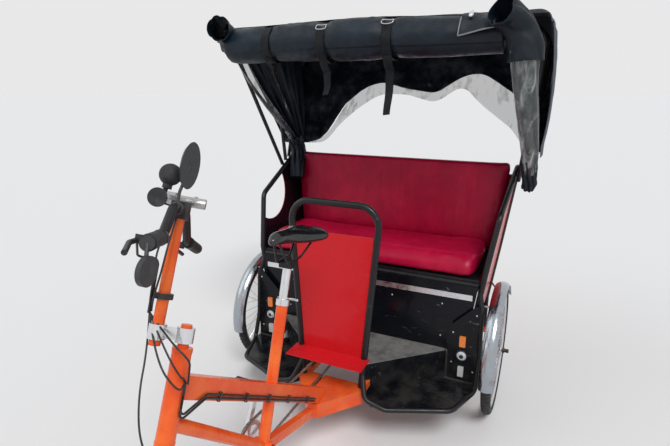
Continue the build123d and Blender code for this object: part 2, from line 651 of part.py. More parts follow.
# Bench, back and floor
def add_bench():
    half = side_x(BENCH_Z - BENCH_TUBE_RADIUS) - SIDE_TUBE_RADIUS / cos(lean) - SEAT_GAP
    front = rod((-half, BENCH_FRONT_Y, BENCH_Z), (half, BENCH_FRONT_Y, BENCH_Z), BENCH_TUBE_RADIUS)
    rear_half = side_x(BENCH_Z - BENCH_TUBE_RADIUS) - PANEL_THICKNESS / 2 - SEAT_GAP
    rear = rod((-rear_half, BENCH_REAR_Y, BENCH_Z), (rear_half, BENCH_REAR_Y, BENCH_Z), BENCH_TUBE_RADIUS)
    pieces = [front.solid(), rear.solid()]
    for x in (-420, 0, 420):
        start = (x, BENCH_FRONT_Y + BENCH_TUBE_RADIUS + SEAT_GAP, BENCH_Z)
        end = (x, BENCH_REAR_Y - BENCH_TUBE_RADIUS - SEAT_GAP, BENCH_Z)
        pieces.append(square_bar(start, end, 25, 25).solid())

    board_z = BENCH_Z + BENCH_TUBE_RADIUS + SEAT_GAP
    depth = BENCH_REAR_Y - BENCH_FRONT_Y
    board = Pos(0, (BENCH_REAR_Y + BENCH_FRONT_Y) / 2, board_z + BENCH_BOARD / 2) * Box(
        2 * (half - 2), depth, BENCH_BOARD)
    keep("bench_frame", Compound(children=pieces + [board.solid()]))

    low = board_z + BENCH_BOARD + SEAT_GAP
    top = low + CUSHION_THICKNESS
    outline = [(-38, low), (BENCH_REAR_Y - 60, low), (BENCH_REAR_Y - 60, top - 12), (180, top - 4),
               (20, top), (-38, top - 40)]
    side_view = Plane(origin=(-CUSHION_HALF, 0, 0), x_dir=(0, 1, 0), z_dir=(1, 0, 0))
    cushion = plate(outline, 2 * CUSHION_HALF, side_view, 12)
    keep("seat_cushion", cushion)

    back_low = low + 4
    front_low = BENCH_REAR_Y - 60 + SEAT_GAP
    back_top = BACK_Y - SIDE_TUBE_RADIUS - 4 - 3 * SEAT_GAP
    outline = [(front_low, back_low), (front_low + BACKREST_THICKNESS, back_low),
               (back_top, BACK_TOP_Z), (back_top - BACKREST_THICKNESS + 10, BACK_TOP_Z), (front_low, top - 16)]
    side_view = Plane(origin=(-BACKREST_HALF, 0, 0), x_dir=(0, 1, 0), z_dir=(1, 0, 0))
    backrest = plate(outline, 2 * BACKREST_HALF, side_view, 10)
    side_cut = SIDE_PLANE.offset(-SIDE_TUBE_RADIUS - 1)
    cutter = side_cut * Pos(300, 900, 100) * Box(2000, 2000, 200)
    backrest = backrest - cutter - mirrored(cutter)
    keep("backrest", backrest)

    # The back panel lies on the front of the side loops' rear legs, between the side panels
    leg_up = Vector(0, BACK_Y - REAR_LEG_Y, BACK_TOP_Z - REAR_LEG_Z).normalized()
    facing = Vector(1, 0, 0).cross(leg_up)
    touch = Vector(0, REAR_LEG_Y, REAR_LEG_Z) + facing * (SIDE_TUBE_RADIUS + SEAT_GAP)
    back_plane = Plane(origin=touch, x_dir=(1, 0, 0), z_dir=facing)
    corners = []
    for z, inset in ((BACK_PANEL_LOW, 36), (REAR_LEG_Z, 36), (REAR_LEG_Z + 40, 4), (BACK_PANEL_TOP, 4)):
        corners.append((side_x(z) - inset, z - REAR_LEG_Z))
    corners += [(-x, up) for x, up in reversed(corners)]
    keep("back_panel", plate(corners, 4, back_plane))


def add_floor():
    board_low = FLOOR_Z - FLOOR_THICKNESS
    board_top = BENCH_Z - 2
    board_y = BOARD_FACE_Y + BOARD_THICKNESS / 2
    inset = SIDE_TUBE_RADIUS + 1
    board_plane = Plane(origin=(0, BOARD_FACE_Y + BOARD_THICKNESS, 0), x_dir=(1, 0, 0), z_dir=(0, -1, 0))
    corners = [(side_x(board_low) - inset, board_low), (side_x(board_top) - inset, board_top)]
    corners += [(-x, z) for x, z in reversed(corners)]
    board = plate(corners, BOARD_THICKNESS, board_plane)
    notch = Pos(TUNNEL_X, board_y, FLOOR_Z + TUNNEL_HEIGHT / 2 - 10) * Box(
        2 * TUNNEL_HALF, 12, TUNNEL_HEIGHT + 20)
    keep("front_board", board - notch)

    strip_z = board_top - 54
    strip_half = side_x(strip_z) - inset - 14
    strip = Pos(0, BOARD_FACE_Y - 1.2, strip_z) * Box(2 * strip_half, 2.4, 26)
    screws = [Pos(x, BOARD_FACE_Y - 2.4, strip_z) * Rot(90, 0, 0) * Cylinder(4, 2.4) for x in
              (-480, -340, -200, -60, 60, 200, 340, 480)]
    for screw in screws:
        strip += screw
    keep("trim_strip", strip)

    outline = [(-FLOOR_REAR_HALF, BOARD_FACE_Y - SEAT_GAP), (-FLOOR_FRONT_HALF, FLOOR_FRONT_Y),
               (FLOOR_FRONT_HALF, FLOOR_FRONT_Y), (FLOOR_REAR_HALF, BOARD_FACE_Y - SEAT_GAP)]
    floor = plate(outline, FLOOR_THICKNESS, Plane.XY.offset(FLOOR_Z - FLOOR_THICKNESS))
    # The chain's tunnel stands in an opening that runs from a front strip to the board
    tunnel_front = FLOOR_FRONT_Y + FLOOR_STRIP
    tunnel_length = BOARD_FACE_Y - 1 - tunnel_front
    tunnel_y = tunnel_front + tunnel_length / 2
    opening = Pos(TUNNEL_X, tunnel_y, FLOOR_Z) * Box(2 * (TUNNEL_HALF + SEAT_GAP), tunnel_length + 2 * SEAT_GAP + 2, 40)
    tunnel_z = FLOOR_Z - FLOOR_THICKNESS + (TUNNEL_HEIGHT + FLOOR_THICKNESS) / 2
    tunnel = Pos(TUNNEL_X, tunnel_y, tunnel_z) * Box(
        2 * TUNNEL_HALF, tunnel_length, TUNNEL_HEIGHT + FLOOR_THICKNESS)
    hollow = Pos(TUNNEL_X, tunnel_y, tunnel_z - FLOOR_THICKNESS) * Box(
        2 * (TUNNEL_HALF - FLOOR_THICKNESS), tunnel_length + 10, TUNNEL_HEIGHT + FLOOR_THICKNESS)
    keep("floor", Compound(children=[(floor - opening).solid(), (tunnel - hollow).solid()]))


def add_steps():
    rim_path = [(HOOP_FOOT_HALF + 5, HOOP_FOOT_Y + 2, 322), (176, -424, 236), (262, -408, STEP_Z), (520, -296, STEP_Z),
                (STEP_OUTER_X, -110, STEP_Z), (STEP_OUTER_X, -62, 330), (STEP_OUTER_X - 6, -50, 560),
                (side_x(STEP_RIM_TOP) - 3, BENCH_FRONT_Y, STEP_RIM_TOP)]
    bends = [40, 60, 60, 40, 60, 50]
    loop_foot = rod(side_point(BENCH_FRONT_Y, 470), side_point(BENCH_FRONT_Y, 680), SIDE_TUBE_RADIUS + SEAT_GAP)
    hoop_leg = rod((HOOP_FOOT_HALF, HOOP_FOOT_Y, RAIL_Z + 16), (HOOP_TOP_HALF, HOOP_TOP_Y, HOOP_TOP_Z),
                   HOOP_RADIUS + SEAT_GAP)
    rim = largest(round_bar(rim_path, STEP_RIM_RADIUS, bends) - loop_foot - hoop_leg)
    keep("step_rims", both(rim))
    rim_room = round_bar(rim_path, STEP_RIM_RADIUS + SEAT_GAP, bends)

    step_outline = [(196, -410), (262, -408), (512, -300), (STEP_OUTER_X, -140), (STEP_OUTER_X, -68),
                    (FLOOR_REAR_HALF - 9, -68), (FLOOR_REAR_HALF - 9, -44), (FLOOR_FRONT_HALF - 6, FLOOR_FRONT_Y),
                    (RAIL_X + RAIL_SIZE / 2 + 5, CHASSIS_FRONT_Y + 16)]
    tray = plate(step_outline, STEP_SHELL, Plane.XY.offset(STEP_Z - STEP_SHELL / 2))
    riser_wall = [(FLOOR_FRONT_HALF - 4, FLOOR_FRONT_Y + 4), (FLOOR_REAR_HALF - 6, BOARD_FACE_Y)]
    ax, ay = riser_wall[0]
    bx, by = riser_wall[1]
    middle = ((ax + bx) / 2, (ay + by) / 2)
    length = hypot(bx - ax, by - ay)
    wall_height = FLOOR_Z - FLOOR_THICKNESS - STEP_Z - 2 - SEAT_GAP
    wall = Pos(middle[0], middle[1], STEP_Z + 2 + wall_height / 2) * Rot(0, 0, degrees(atan2(by - ay, bx - ax))) * Box(
        length - 8, STEP_SHELL, wall_height)
    wall -= Pos(RAIL_X, middle[1], RAIL_Z) * Box(RAIL_SIZE + 2 * SEAT_GAP, length, RAIL_SIZE + 2 * SEAT_GAP)
    tray += wall
    keep("step_trays", both(largest(tray - rim_room)))

    panel_plane = Plane(origin=(0, LAMP_PANEL_Y, 0), x_dir=(1, 0, 0), z_dir=(0, -1, 0))
    low = STEP_Z + STEP_SHELL / 2 + SEAT_GAP
    outline = [(FLOOR_REAR_HALF + 2, low), (STEP_OUTER_X - 2, low), (STEP_OUTER_X - 4, 520), (568, 596), (452, 478),
               (434, 410), (FLOOR_REAR_HALF + 2, 300)]
    panel = plate(outline, 4, panel_plane.offset(-4), 10)
    keep("lamp_panels", both(largest(panel - rim_room)))

    face_y = LAMP_PANEL_Y - SEAT_GAP
    lamps = []
    reflectors = []
    for side in (-1, 1):
        x = side * LAMP_X
        facing = Plane(origin=(x, face_y, 0), x_dir=(1, 0, 0), z_dir=(0, -1, 0))
        lamp = extrude(facing * Pos(0, 335) * Circle(LAMP_RADIUS), amount=8)
        lamp += extrude(facing.offset(8) * Pos(0, 335) * Circle(LAMP_RADIUS - 3), amount=7, taper=30)
        lamps.append(lamp.solid())
        for height, half_width, half_depth in ((406, 14, 26), (254, 13, 25)):
            shape = facing * Pos(0, height) * RectangleRounded(2 * half_width, 2 * half_depth, 4)
            reflectors.append(extrude(shape, amount=9).solid())
    keep("marker_lamps", Compound(children=lamps))
    keep("reflectors", Compound(children=reflectors))

    rear = Plane(origin=(0, BENCH_REAR_Y + RAIL_SIZE / 2 + SEAT_GAP, RAIL_Z), x_dir=(-1, 0, 0), z_dir=(0, 1, 0))
    tails = [extrude(rear * Pos(x, 0) * RectangleRounded(66, 28, 6), amount=14).solid()
             for x in (-TAIL_LAMP_X, TAIL_LAMP_X)]
    keep("tail_lamps", Compound(children=tails))


def add_driver_back():
    foot_z = RAIL_Z + RAIL_SIZE / 2 + 1.2
    hoop_path = [(-HOOP_FOOT_HALF, HOOP_FOOT_Y, foot_z), (-HOOP_TOP_HALF, HOOP_TOP_Y, HOOP_TOP_Z),
                 (HOOP_TOP_HALF, HOOP_TOP_Y, HOOP_TOP_Z), (HOOP_FOOT_HALF, HOOP_FOOT_Y, foot_z)]
    keep("driver_hoop", round_bar(hoop_path, HOOP_RADIUS, HOOP_BEND))

    # The panel lies in the hoop's plane, cut to the inside of its tube
    up = Vector(0, HOOP_TOP_Y - HOOP_FOOT_Y, HOOP_TOP_Z - foot_z).normalized()
    facing = Vector(1, 0, 0).cross(up)
    panel_plane = Plane(origin=(0, HOOP_FOOT_Y, foot_z), x_dir=(1, 0, 0), z_dir=facing)
    rise = (HOOP_TOP_HALF - HOOP_FOOT_HALF) / (HOOP_TOP_Z - foot_z)
    low = SHELF_Z - foot_z
    high = DRIVER_PANEL_TOP - foot_z
    low_half = HOOP_FOOT_HALF + rise * low
    high_half = HOOP_FOOT_HALF + rise * high
    outline = [(-low_half, low), (low_half, low), (high_half, high), (-high_half, high)]
    panel = plate(outline, PANEL_THICKNESS, panel_plane.offset(-PANEL_THICKNESS / 2))
    panel += Pos(0, HOOP_FOOT_Y + 5 - SHELF_DEPTH / 2, SHELF_Z) * Box(2 * SHELF_HALF, SHELF_DEPTH, PANEL_THICKNESS)
    panel -= round_bar(hoop_path, HOOP_RADIUS + SEAT_GAP, HOOP_BEND)
    keep("driver_back_panel", largest(panel))


def add_guards():
    radius = REAR_WHEEL_RADIUS + GUARD_CLEARANCE
    centre = Plane(origin=(HALF_TRACK, REAR_AXLE_Y, REAR_WHEEL_RADIUS), x_dir=(0, 1, 0), z_dir=(1, 0, 0))
    edge = radius - GUARD_CROWN
    outer = ThreePointArc((edge, -GUARD_WIDTH / 2), (radius, 0), (edge, GUARD_WIDTH / 2))
    inner = ThreePointArc((radius - GUARD_CROWN - GUARD_SHEET, GUARD_WIDTH / 2 - 1), (radius - GUARD_SHEET, 0),
                          (radius - GUARD_CROWN - GUARD_SHEET, -GUARD_WIDTH / 2 + 1))
    ends = [Line(outer @ 1, inner @ 0), Line(inner @ 1, outer @ 0)]
    profile = make_face([outer, ends[0], inner, ends[1]])
    swept = revolve(Plane.XZ * profile, Axis.Z, revolution_arc=GUARD_FRONT - GUARD_REAR)
    guard = (centre.location * Rot(0, 0, GUARD_REAR) * swept).solid()

    # Each guard rests on a stub from the loop's front leg and a stay from its rear leg
    under = radius - GUARD_CROWN - GUARD_SHEET - STAY_RADIUS - SEAT_GAP
    end_x = HALF_TRACK - GUARD_WIDTH / 2 + 4
    stub_z = REAR_WHEEL_RADIUS + sqrt(under ** 2 - (REAR_AXLE_Y - BENCH_FRONT_Y) ** 2)
    stub_start = side_x(stub_z) + SIDE_TUBE_RADIUS + 1
    stub = rod((stub_start, BENCH_FRONT_Y, stub_z), (end_x, BENCH_FRONT_Y, stub_z), STAY_RADIUS)
    tail = radians(GUARD_REAR + 4)
    stay_end = (end_x, REAR_AXLE_Y + under * cos(tail), REAR_WHEEL_RADIUS + under * sin(tail))
    stay_start = (side_x(stay_end[2]) + 8, 478, stay_end[2])
    stay = rod(stay_start, stay_end, STAY_RADIUS)
    leg_room = rod((CROSS_X - 15, BENCH_REAR_Y, RAIL_Z), side_point(BENCH_REAR_Y + 30, 420), SIDE_TUBE_RADIUS + SEAT_GAP)
    leg_room += rod(side_point(BENCH_REAR_Y + 30, 420), side_point(REAR_LEG_Y, REAR_LEG_Z), SIDE_TUBE_RADIUS + SEAT_GAP)
    stay = largest(stay - leg_room)
    pieces = [guard, stub.solid(), stay]
    keep("mudguards", Compound(children=pieces + [mirrored(piece).solid() for piece in pieces]))


# Fork, stem, bar and what is clamped on it
def add_steering():
    place = TURNED
    crown_low = -CUP_HEIGHT - 34
    legs = []
    steerer = Pos(0, 0, (crown_low + RISER_BOTTOM + STEM_HEIGHT + 8) / 2) * Cylinder(
        STEERER_RADIUS, RISER_BOTTOM + STEM_HEIGHT + 8 - crown_low)
    fork = steerer + Pos(0, 0, crown_low + 14) * Box(2 * FORK_LEG_X + 24, 34, 28)
    for side in (-1, 1):
        leg = round_bar([(side * FORK_LEG_X, 0, crown_low + 4), (side * FORK_LEG_X, 0, crown_low - 130),
                         (side * FORK_LEG_X, -FORK_OFFSET, -HUB_DROP + 14)], FORK_LEG_RADIUS, 120)
        fork += leg
        tip = Pos(side * FORK_LEG_X, -FORK_OFFSET, -HUB_DROP) * Rot(0, 90, 0) * Cylinder(15, 7)
        fork += tip
    axle = Pos(0, -FORK_OFFSET, -HUB_DROP) * Rot(0, 90, 0) * Cylinder(FRONT_AXLE_RADIUS, 2 * FORK_LEG_X + 34)
    for side in (-1, 1):
        axle += Pos(side * (FORK_LEG_X + 9), -FORK_OFFSET, -HUB_DROP) * Rot(0, 90, 0) * extrude(
            RegularPolygon(10, 6), amount=5, both=True)
    keep("fork", Compound(children=[(place * fork).solid()] + list((place * (axle - fork)).solids())))

    stem = Pos(0, 0, RISER_BOTTOM + STEM_HEIGHT / 2) * Cylinder(STEERER_RADIUS + 9, STEM_HEIGHT)
    stem += Pos(0, -STEM_REACH / 2, RISER_BOTTOM + STEM_HEIGHT / 2) * Box(24, STEM_REACH, STEM_HEIGHT - 10)
    stem += Pos(0, -STEM_REACH, RISER_BOTTOM + STEM_HEIGHT / 2) * Cylinder(RISER_RADIUS + 7, STEM_HEIGHT)
    stem -= Pos(0, 0, RISER_BOTTOM) * Cylinder(STEERER_RADIUS + SEAT_GAP, 200)
    stem -= Pos(0, -STEM_REACH, RISER_BOTTOM) * Cylinder(RISER_RADIUS + SEAT_GAP, 200)
    keep("stem", place * stem)

    riser = Pos(0, -STEM_REACH, (RISER_BOTTOM - 16 + RISER_TOP) / 2) * Cylinder(
        RISER_RADIUS, RISER_TOP - RISER_BOTTOM + 16)
    riser -= Pos(0, -STEM_REACH, (RISER_BOTTOM - 16 + RISER_TOP) / 2) * Cylinder(
        RISER_RADIUS - RISER_WALL, RISER_TOP - RISER_BOTTOM + 20)
    keep("riser_tube", place * riser)

    bar_z = RISER_TOP + BAR_RADIUS + 1
    bar_path = [(-BAR_HALF, -STEM_REACH + BAR_SWEEP, bar_z - BAR_DROP),
                (-BAR_BEND, -STEM_REACH + BEND_SWEEP, bar_z - BAR_DROP + BEND_RISE),
                (-BAR_MIDDLE, -STEM_REACH, bar_z), (BAR_MIDDLE, -STEM_REACH, bar_z),
                (BAR_BEND, -STEM_REACH + BEND_SWEEP, bar_z - BAR_DROP + BEND_RISE),
                (BAR_HALF, -STEM_REACH + BAR_SWEEP, bar_z - BAR_DROP)]
    bar = round_bar(bar_path, BAR_RADIUS, [40, 50, 50, 40])
    keep("handlebar", place * bar)
    clamp = Pos(0, -STEM_REACH, RISER_TOP + 12) * Box(46, 44, 44)
    clamp -= Pos(0, -STEM_REACH, bar_z) * Rot(0, 90, 0) * Cylinder(BAR_RADIUS + SEAT_GAP, 60)
    clamp -= Pos(0, -STEM_REACH, RISER_TOP - 20) * Cylinder(RISER_RADIUS + SEAT_GAP, 40)
    clamp -= Pos(0, -STEM_REACH, RISER_TOP - 20) * Cylinder(RISER_RADIUS + SEAT_GAP, 60)
    keep("bar_clamp", place * clamp)

    start = Vector(BAR_BEND, -STEM_REACH + BEND_SWEEP, bar_z - BAR_DROP + BEND_RISE)
    end = Vector(BAR_HALF, -STEM_REACH + BAR_SWEEP, bar_z - BAR_DROP)
    direction = (end - start).normalized()
    grip_start = end - direction * (GRIP_LENGTH - 4)
    grip_place = Plane(origin=grip_start, z_dir=direction)
    grip = extrude(grip_place * (Circle(GRIP_RADIUS) - Circle(BAR_RADIUS + SEAT_GAP)), amount=GRIP_LENGTH)
    keep("grips", Compound(children=[(place * grip).solid(), (place * mirrored(grip)).solid()]))

    lever_root = grip_start - direction * 26
    clamp_ring = extrude(Plane(origin=lever_root, z_dir=direction) * (
        Circle(BAR_RADIUS + 6) - Circle(BAR_RADIUS + SEAT_GAP)),
                         amount=22)
    body = Pos(*(lever_root + direction * 11 + Vector(0, -30, -10))) * Box(24, 36, 20)
    root = lever_root + direction * 14 + Vector(0, -44, -12)
    blade = round_bar([tuple(root), tuple(root + direction * 40 + Vector(0, -8, -4)),
                       tuple(root + direction * 128 + Vector(0, 4, -14))], 6, 20)
    lever = clamp_ring + body + blade
    lever -= extrude(Plane(origin=lever_root - direction * 20, z_dir=direction) * Circle(BAR_RADIUS + SEAT_GAP), amount=80)
    keep("brake_levers", Compound(children=[(place * lever).solid(), (place * mirrored(lever)).solid()]))


def ring_clamp(x, height, width):
    """A band round the straight middle of the bar."""
    band = Pos(x, -STEM_REACH, height) * Rot(0, 90, 0) * Cylinder(BAR_RADIUS + 4, width)
    return band - Pos(x, -STEM_REACH, height) * Rot(0, 90, 0) * Cylinder(BAR_RADIUS + SEAT_GAP, width + 2)


def add_bar_fittings():
    """Mirrors, bulb horn, torch and the cables, in the steering frame."""
    place = TURNED
    bar_z = RISER_TOP + BAR_RADIUS + 1
    clamp_top = bar_z + BAR_RADIUS + 4

    # Upright mirror: a flattened drop on a bent stalk, turned towards the driver
    mirror_x = 60
    head_z = clamp_top + 34 + MIRROR_HALF_HEIGHT
    stalk = round_bar([(mirror_x, -STEM_REACH, clamp_top - 3), (mirror_x, -STEM_REACH, clamp_top + 26),
                       (mirror_x, -STEM_REACH + BAR_SWEEP, head_z)], 4, 10)
    face = Plane(origin=(mirror_x, -STEM_REACH + BAR_SWEEP, head_z), x_dir=(cos(radians(35)), -sin(radians(35)), 0),
                 z_dir=(sin(radians(35)), cos(radians(35)), 0))
    back = face.offset(-13) * Ellipse(MIRROR_HALF_WIDTH - 9, MIRROR_HALF_HEIGHT - 9)
    shell = loft([back, face * Ellipse(MIRROR_HALF_WIDTH, MIRROR_HALF_HEIGHT)])
    upright = ring_clamp(mirror_x, bar_z, 14) + stalk + shell

    # Small round mirror on a short arm at the end of the left grip
    end = Vector(BAR_HALF, -STEM_REACH + BAR_SWEEP, bar_z - BAR_DROP)
    start = Vector(BAR_BEND, -STEM_REACH + BEND_SWEEP, bar_z - BAR_DROP + BEND_RISE)
    out = (end - start).normalized()
    plug = rod(tuple(end + out * (4 + SEAT_GAP)), tuple(end + out * 14), GRIP_RADIUS - 3)
    arm = rod(tuple(end + out * 10), tuple(end + out * 20 + Vector(0, 6, -44)), 4)
    disc_place = Plane(origin=end + out * 20 + Vector(0, 10, -50), z_dir=(0.35, 0.94, 0))
    small = plug + arm + extrude(disc_place * Circle(29), amount=5, both=True)
    keep("mirrors", Compound(children=[(place * upright).solid(), (place * small).solid()]))

    # Bulb horn: rubber ball, neck and a flared mouth that looks to the left
    horn_x = 36
    ball_at = (horn_x, -STEM_REACH - 34, clamp_top + 66)
    mouth_at = Pos(horn_x - 6, -STEM_REACH - 48, clamp_top + 2) * Rot(0, 90, 0)
    neck = round_bar([ball_at, (horn_x, -STEM_REACH - 40, clamp_top + 22), (horn_x, -STEM_REACH - 48, clamp_top + 2)],
                     6, 12)
    collar = rod((horn_x, -STEM_REACH - 37, clamp_top + 30), (horn_x, -STEM_REACH - 36, clamp_top + 42), 12)
    throat = revolve(Plane.XZ * make_face(Polyline(
        (0, -8), (10, -8), (12, 8), (HORN_MOUTH_RADIUS, 34), (HORN_MOUTH_RADIUS, 37), (0, 30), close=True)), Axis.Z)
    horn = Pos(*ball_at) * Sphere(HORN_BULB_RADIUS) + neck + collar + mouth_at * throat
    bracket = square_bar((horn_x, -STEM_REACH - BAR_RADIUS - 3, bar_z + 4), (horn_x, -STEM_REACH - 46, bar_z + 10), 10, 4)
    keep("horn", place * (horn + bracket + ring_clamp(horn_x, bar_z, 12)))

    # Torch in a band on the other side of the riser
    torch_x = -46
    torch_z = clamp_top + TORCH_RADIUS - 1
    barrel = Pos(torch_x, -STEM_REACH + 8, torch_z) * Rot(90, 0, 0) * Cylinder(TORCH_RADIUS, TORCH_LENGTH)
    head = Pos(torch_x, -STEM_REACH + 8 - TORCH_LENGTH / 2, torch_z) * Rot(90, 0, 0) * Cylinder(TORCH_RADIUS + 5, 26)
    button = Pos(torch_x, -STEM_REACH + 26, torch_z + TORCH_RADIUS) * Cylinder(5, 6)
    keep("bar_lamp", place * (barrel + head + button + ring_clamp(torch_x, bar_z, 18)))

    # Brake and gear cables from the levers down the riser to a clip above the stem
    lever_x = BAR_HALF - GRIP_LENGTH - 18
    clip_z = RISER_BOTTOM + STEM_HEIGHT + 70
    clip = Pos(0, -STEM_REACH, clip_z) * (Cylinder(RISER_RADIUS + 9, 14) - Cylinder(RISER_RADIUS + SEAT_GAP, 16))
    pieces = [(place * clip).solid()]
    for side, beside in ((-1, -7), (1, 7)):
        low = bar_z - BAR_DROP
        path = [(side * (lever_x - 6), -STEM_REACH - 40, low), (side * (lever_x - 70), -STEM_REACH - 62, low + 12),
                (side * 34, -STEM_REACH - 74, low - 40), (beside, -STEM_REACH - RISER_RADIUS - 15, clip_z + 90),
                (beside, -STEM_REACH - RISER_RADIUS - 13, clip_z - 46)]
        cable = round_bar(path, CABLE_RADIUS, 18)
        pieces.append((place * (cable - clip)).solids().sort_by(SortBy.VOLUME)[-1])
    keep("bar_cables", Compound(children=pieces))


def add_frame_cables():
    """Cables from the head tube along the left side of the beam, with their ties."""
    along = Vector(0, BEAM_REAR_Y - BEAM_FRONT_Y, BEAM_REAR_Z - BEAM_FRONT_Z).normalized()
    below = Vector(1, 0, 0).cross(along)
    if below.Z > 0:
        below = -below
    tie_room = CABLE_RADIUS + 0.6
    tie_half = tie_room + 1.2
    corner = Vector(BEAM_WIDTH / 2 + SEAT_GAP + tie_half, BEAM_FRONT_Y, BEAM_FRONT_Z)
    reach = hypot(BEAM_REAR_Y - BEAM_FRONT_Y, BEAM_REAR_Z - BEAM_FRONT_Z) - 104
    pieces = []
    for drop, height in ((12, 120), (22, 150)):
        side = HEAD_TUBE_RADIUS + CABLE_RADIUS + 1.5
        top = Vector(*head_point(height)) + Vector(side, 0, 0)
        low = Vector(*head_point(76 - drop)) + Vector(side, 0, 0)
        first = corner + along * 70 + below * drop
        last = corner + along * reach + below * drop
        pieces.append(round_bar([tuple(top), tuple(low), tuple(first), tuple(last)], CABLE_RADIUS, [16, 24]).solid())
    for share in (0.16, 0.34, 0.52, 0.7, 0.9):
        middle = corner + along * (reach * share) + below * 17
        tie = Plane(origin=middle, x_dir=(1, 0, 0), z_dir=along)
        band = extrude(tie * (RectangleRounded(2 * tie_half, 28, 3) - RectangleRounded(2 * tie_room, 25, 2)),
                       amount=3, both=True)
        pieces.append(band.solid())
    keep("frame_cables", Compound(children=pieces))


# Hood
def bow(foot_y, top_y):
    """One hoop of the hood, from beside the armrests over the roof."""
    foot_z = armrest_height(foot_y)
    foot = side_x(foot_z) + SIDE_TUBE_RADIUS + BOW_RADIUS + SEAT_GAP
    half = HOOD_HALF - HOOD_THICKNESS - BOW_RADIUS - 3
    top_z = roof_under(top_y) - BOW_RADIUS - 2
    path = [(-foot, foot_y, foot_z), (-half, top_y, top_z - BOW_SHOULDER),
            (BOW_SHOULDER * 0.9 - half, top_y, top_z), (half - BOW_SHOULDER * 0.9, top_y, top_z),
            (half, top_y, top_z - BOW_SHOULDER), (foot, foot_y, foot_z)]
    return round_bar(path, BOW_RADIUS, [50, 50, 50, 50])


def roof_under(y):
    """Height of the roof cloth's underside at a place along the vehicle."""
    if y < HOOD_CREST_Y:
        share = (y - HOOD_FRONT_Y) / (HOOD_CREST_Y - HOOD_FRONT_Y)
        return HOOD_FRONT_Z + (HOOD_CREST_Z - HOOD_FRONT_Z) * share - HOOD_SKIN
    share = (y - HOOD_CREST_Y) / (HOOD_REAR_Y - HOOD_CREST_Y)
    return HOOD_CREST_Z + (HOOD_REAR_Z - HOOD_CREST_Z) * share - HOOD_SKIN


def armrest_height(y):
    """Height of the armrest tube's centre line at a place along it."""
    front_y, front_z = ARMREST_FRONT
    rear_y, rear_z = ARMREST_REAR
    return front_z + (rear_z - front_z) * (y - front_y) / (rear_y - front_y)


def add_hood():
    bows = [bow(330, 20), bow(370, HOOD_CREST_Y), bow(410, 700)]
    keep("hood_bows", Compound(children=[hoop.solid() for hoop in bows]))

    side_view = Plane(origin=(-HOOD_HALF, 0, 0), x_dir=(0, 1, 0), z_dir=(1, 0, 0))
    outer = [(HOOD_FRONT_Y, HOOD_FRONT_Z), (HOOD_CREST_Y, HOOD_CREST_Z), (HOOD_REAR_Y, HOOD_REAR_Z),
             (BACK_Y + 60, BACK_TOP_Z + 12)]
    inner = [(BACK_Y + 55, BACK_TOP_Z + 12), (HOOD_REAR_Y - HOOD_SKIN, HOOD_REAR_Z - HOOD_SKIN),
             (HOOD_CREST_Y, HOOD_CREST_Z - HOOD_SKIN), (HOOD_FRONT_Y, HOOD_FRONT_Z - HOOD_SKIN)]
    skin = plate(outer + inner, 2 * HOOD_HALF, side_view)
    window_plane = Plane(origin=(0, 0, 0), x_dir=(1, 0, 0), z_dir=(0, 1, 0))
    window = Pos(0, 700, 1310) * Box(1080, 400, 310)
    skin -= window
    quarter_outline = [(140, roof_under(140) + 2), (HOOD_CREST_Y, HOOD_CREST_Z - 4), (HOOD_REAR_Y - 3, HOOD_REAR_Z - 3),
                       (BACK_Y + 59, BACK_TOP_Z + 20), (BACK_Y - 20, BACK_TOP_Z + 40)]
    for side in (-1, 1):
        plane = Plane(origin=(side * (HOOD_HALF - HOOD_THICKNESS / 2), 0, 0), x_dir=(0, 1, 0), z_dir=(1, 0, 0))
        skin += plate(quarter_outline, HOOD_THICKNESS, plane.offset(-HOOD_THICKNESS / 2))
    keep("hood_cover", skin)

    # The rolled curtain hangs just under the roof's front edge
    roll_z = roof_under(ROLL_Y) - ROLL_RADIUS - STRAP_THICKNESS - 2 * SEAT_GAP
    roll = rod((-ROLL_HALF, ROLL_Y, roll_z), (ROLL_HALF - 85, ROLL_Y, roll_z), ROLL_RADIUS)
    keep("front_curtain_roll", roll)
    straps = []
    for x in (-440, -170, 120):
        band = rod((x, ROLL_Y, roll_z), (x + STRAP_WIDTH, ROLL_Y, roll_z), ROLL_RADIUS + SEAT_GAP + STRAP_THICKNESS)
        band -= rod((x - 1, ROLL_Y, roll_z), (x + STRAP_WIDTH + 1, ROLL_Y, roll_z), ROLL_RADIUS + SEAT_GAP)
        straps.append(band.solid())
    keep("roll_straps", Compound(children=straps))

    # One side curtain hangs rolled outside its armrest, the other is gathered inside the bows
    beside = side_x(CURTAIN_LOW_Z) + SIDE_TUBE_RADIUS + CURTAIN_RADIUS + CURTAIN_BESIDE
    left_path = [(HOOD_HALF - 123, -166, 1802), (HOOD_HALF - 87, -144, 1590), (beside, 110, CURTAIN_LOW_Z)]
    keep("side_curtain_left", round_bar(left_path, CURTAIN_RADIUS, 160))
    inside = CURTAIN_RADIUS - side_x(GATHERED_LOW_Z) - GATHERED_OUT
    right_path = [(inside - 24, 0, 1640), (inside - 12, 220, 1420), (inside, 450, GATHERED_LOW_Z)]
    keep("side_curtain_right", round_bar(right_path, CURTAIN_RADIUS, 200))


add_rear_wheels()
add_front_wheel()
add_front_frame()
add_saddle()
add_chassis()
add_drive()
add_cabin_sides()
add_bench()
add_floor()
add_steps()
add_driver_back()
add_guards()
add_steering()
add_bar_fittings()
add_frame_cables()
add_hood()

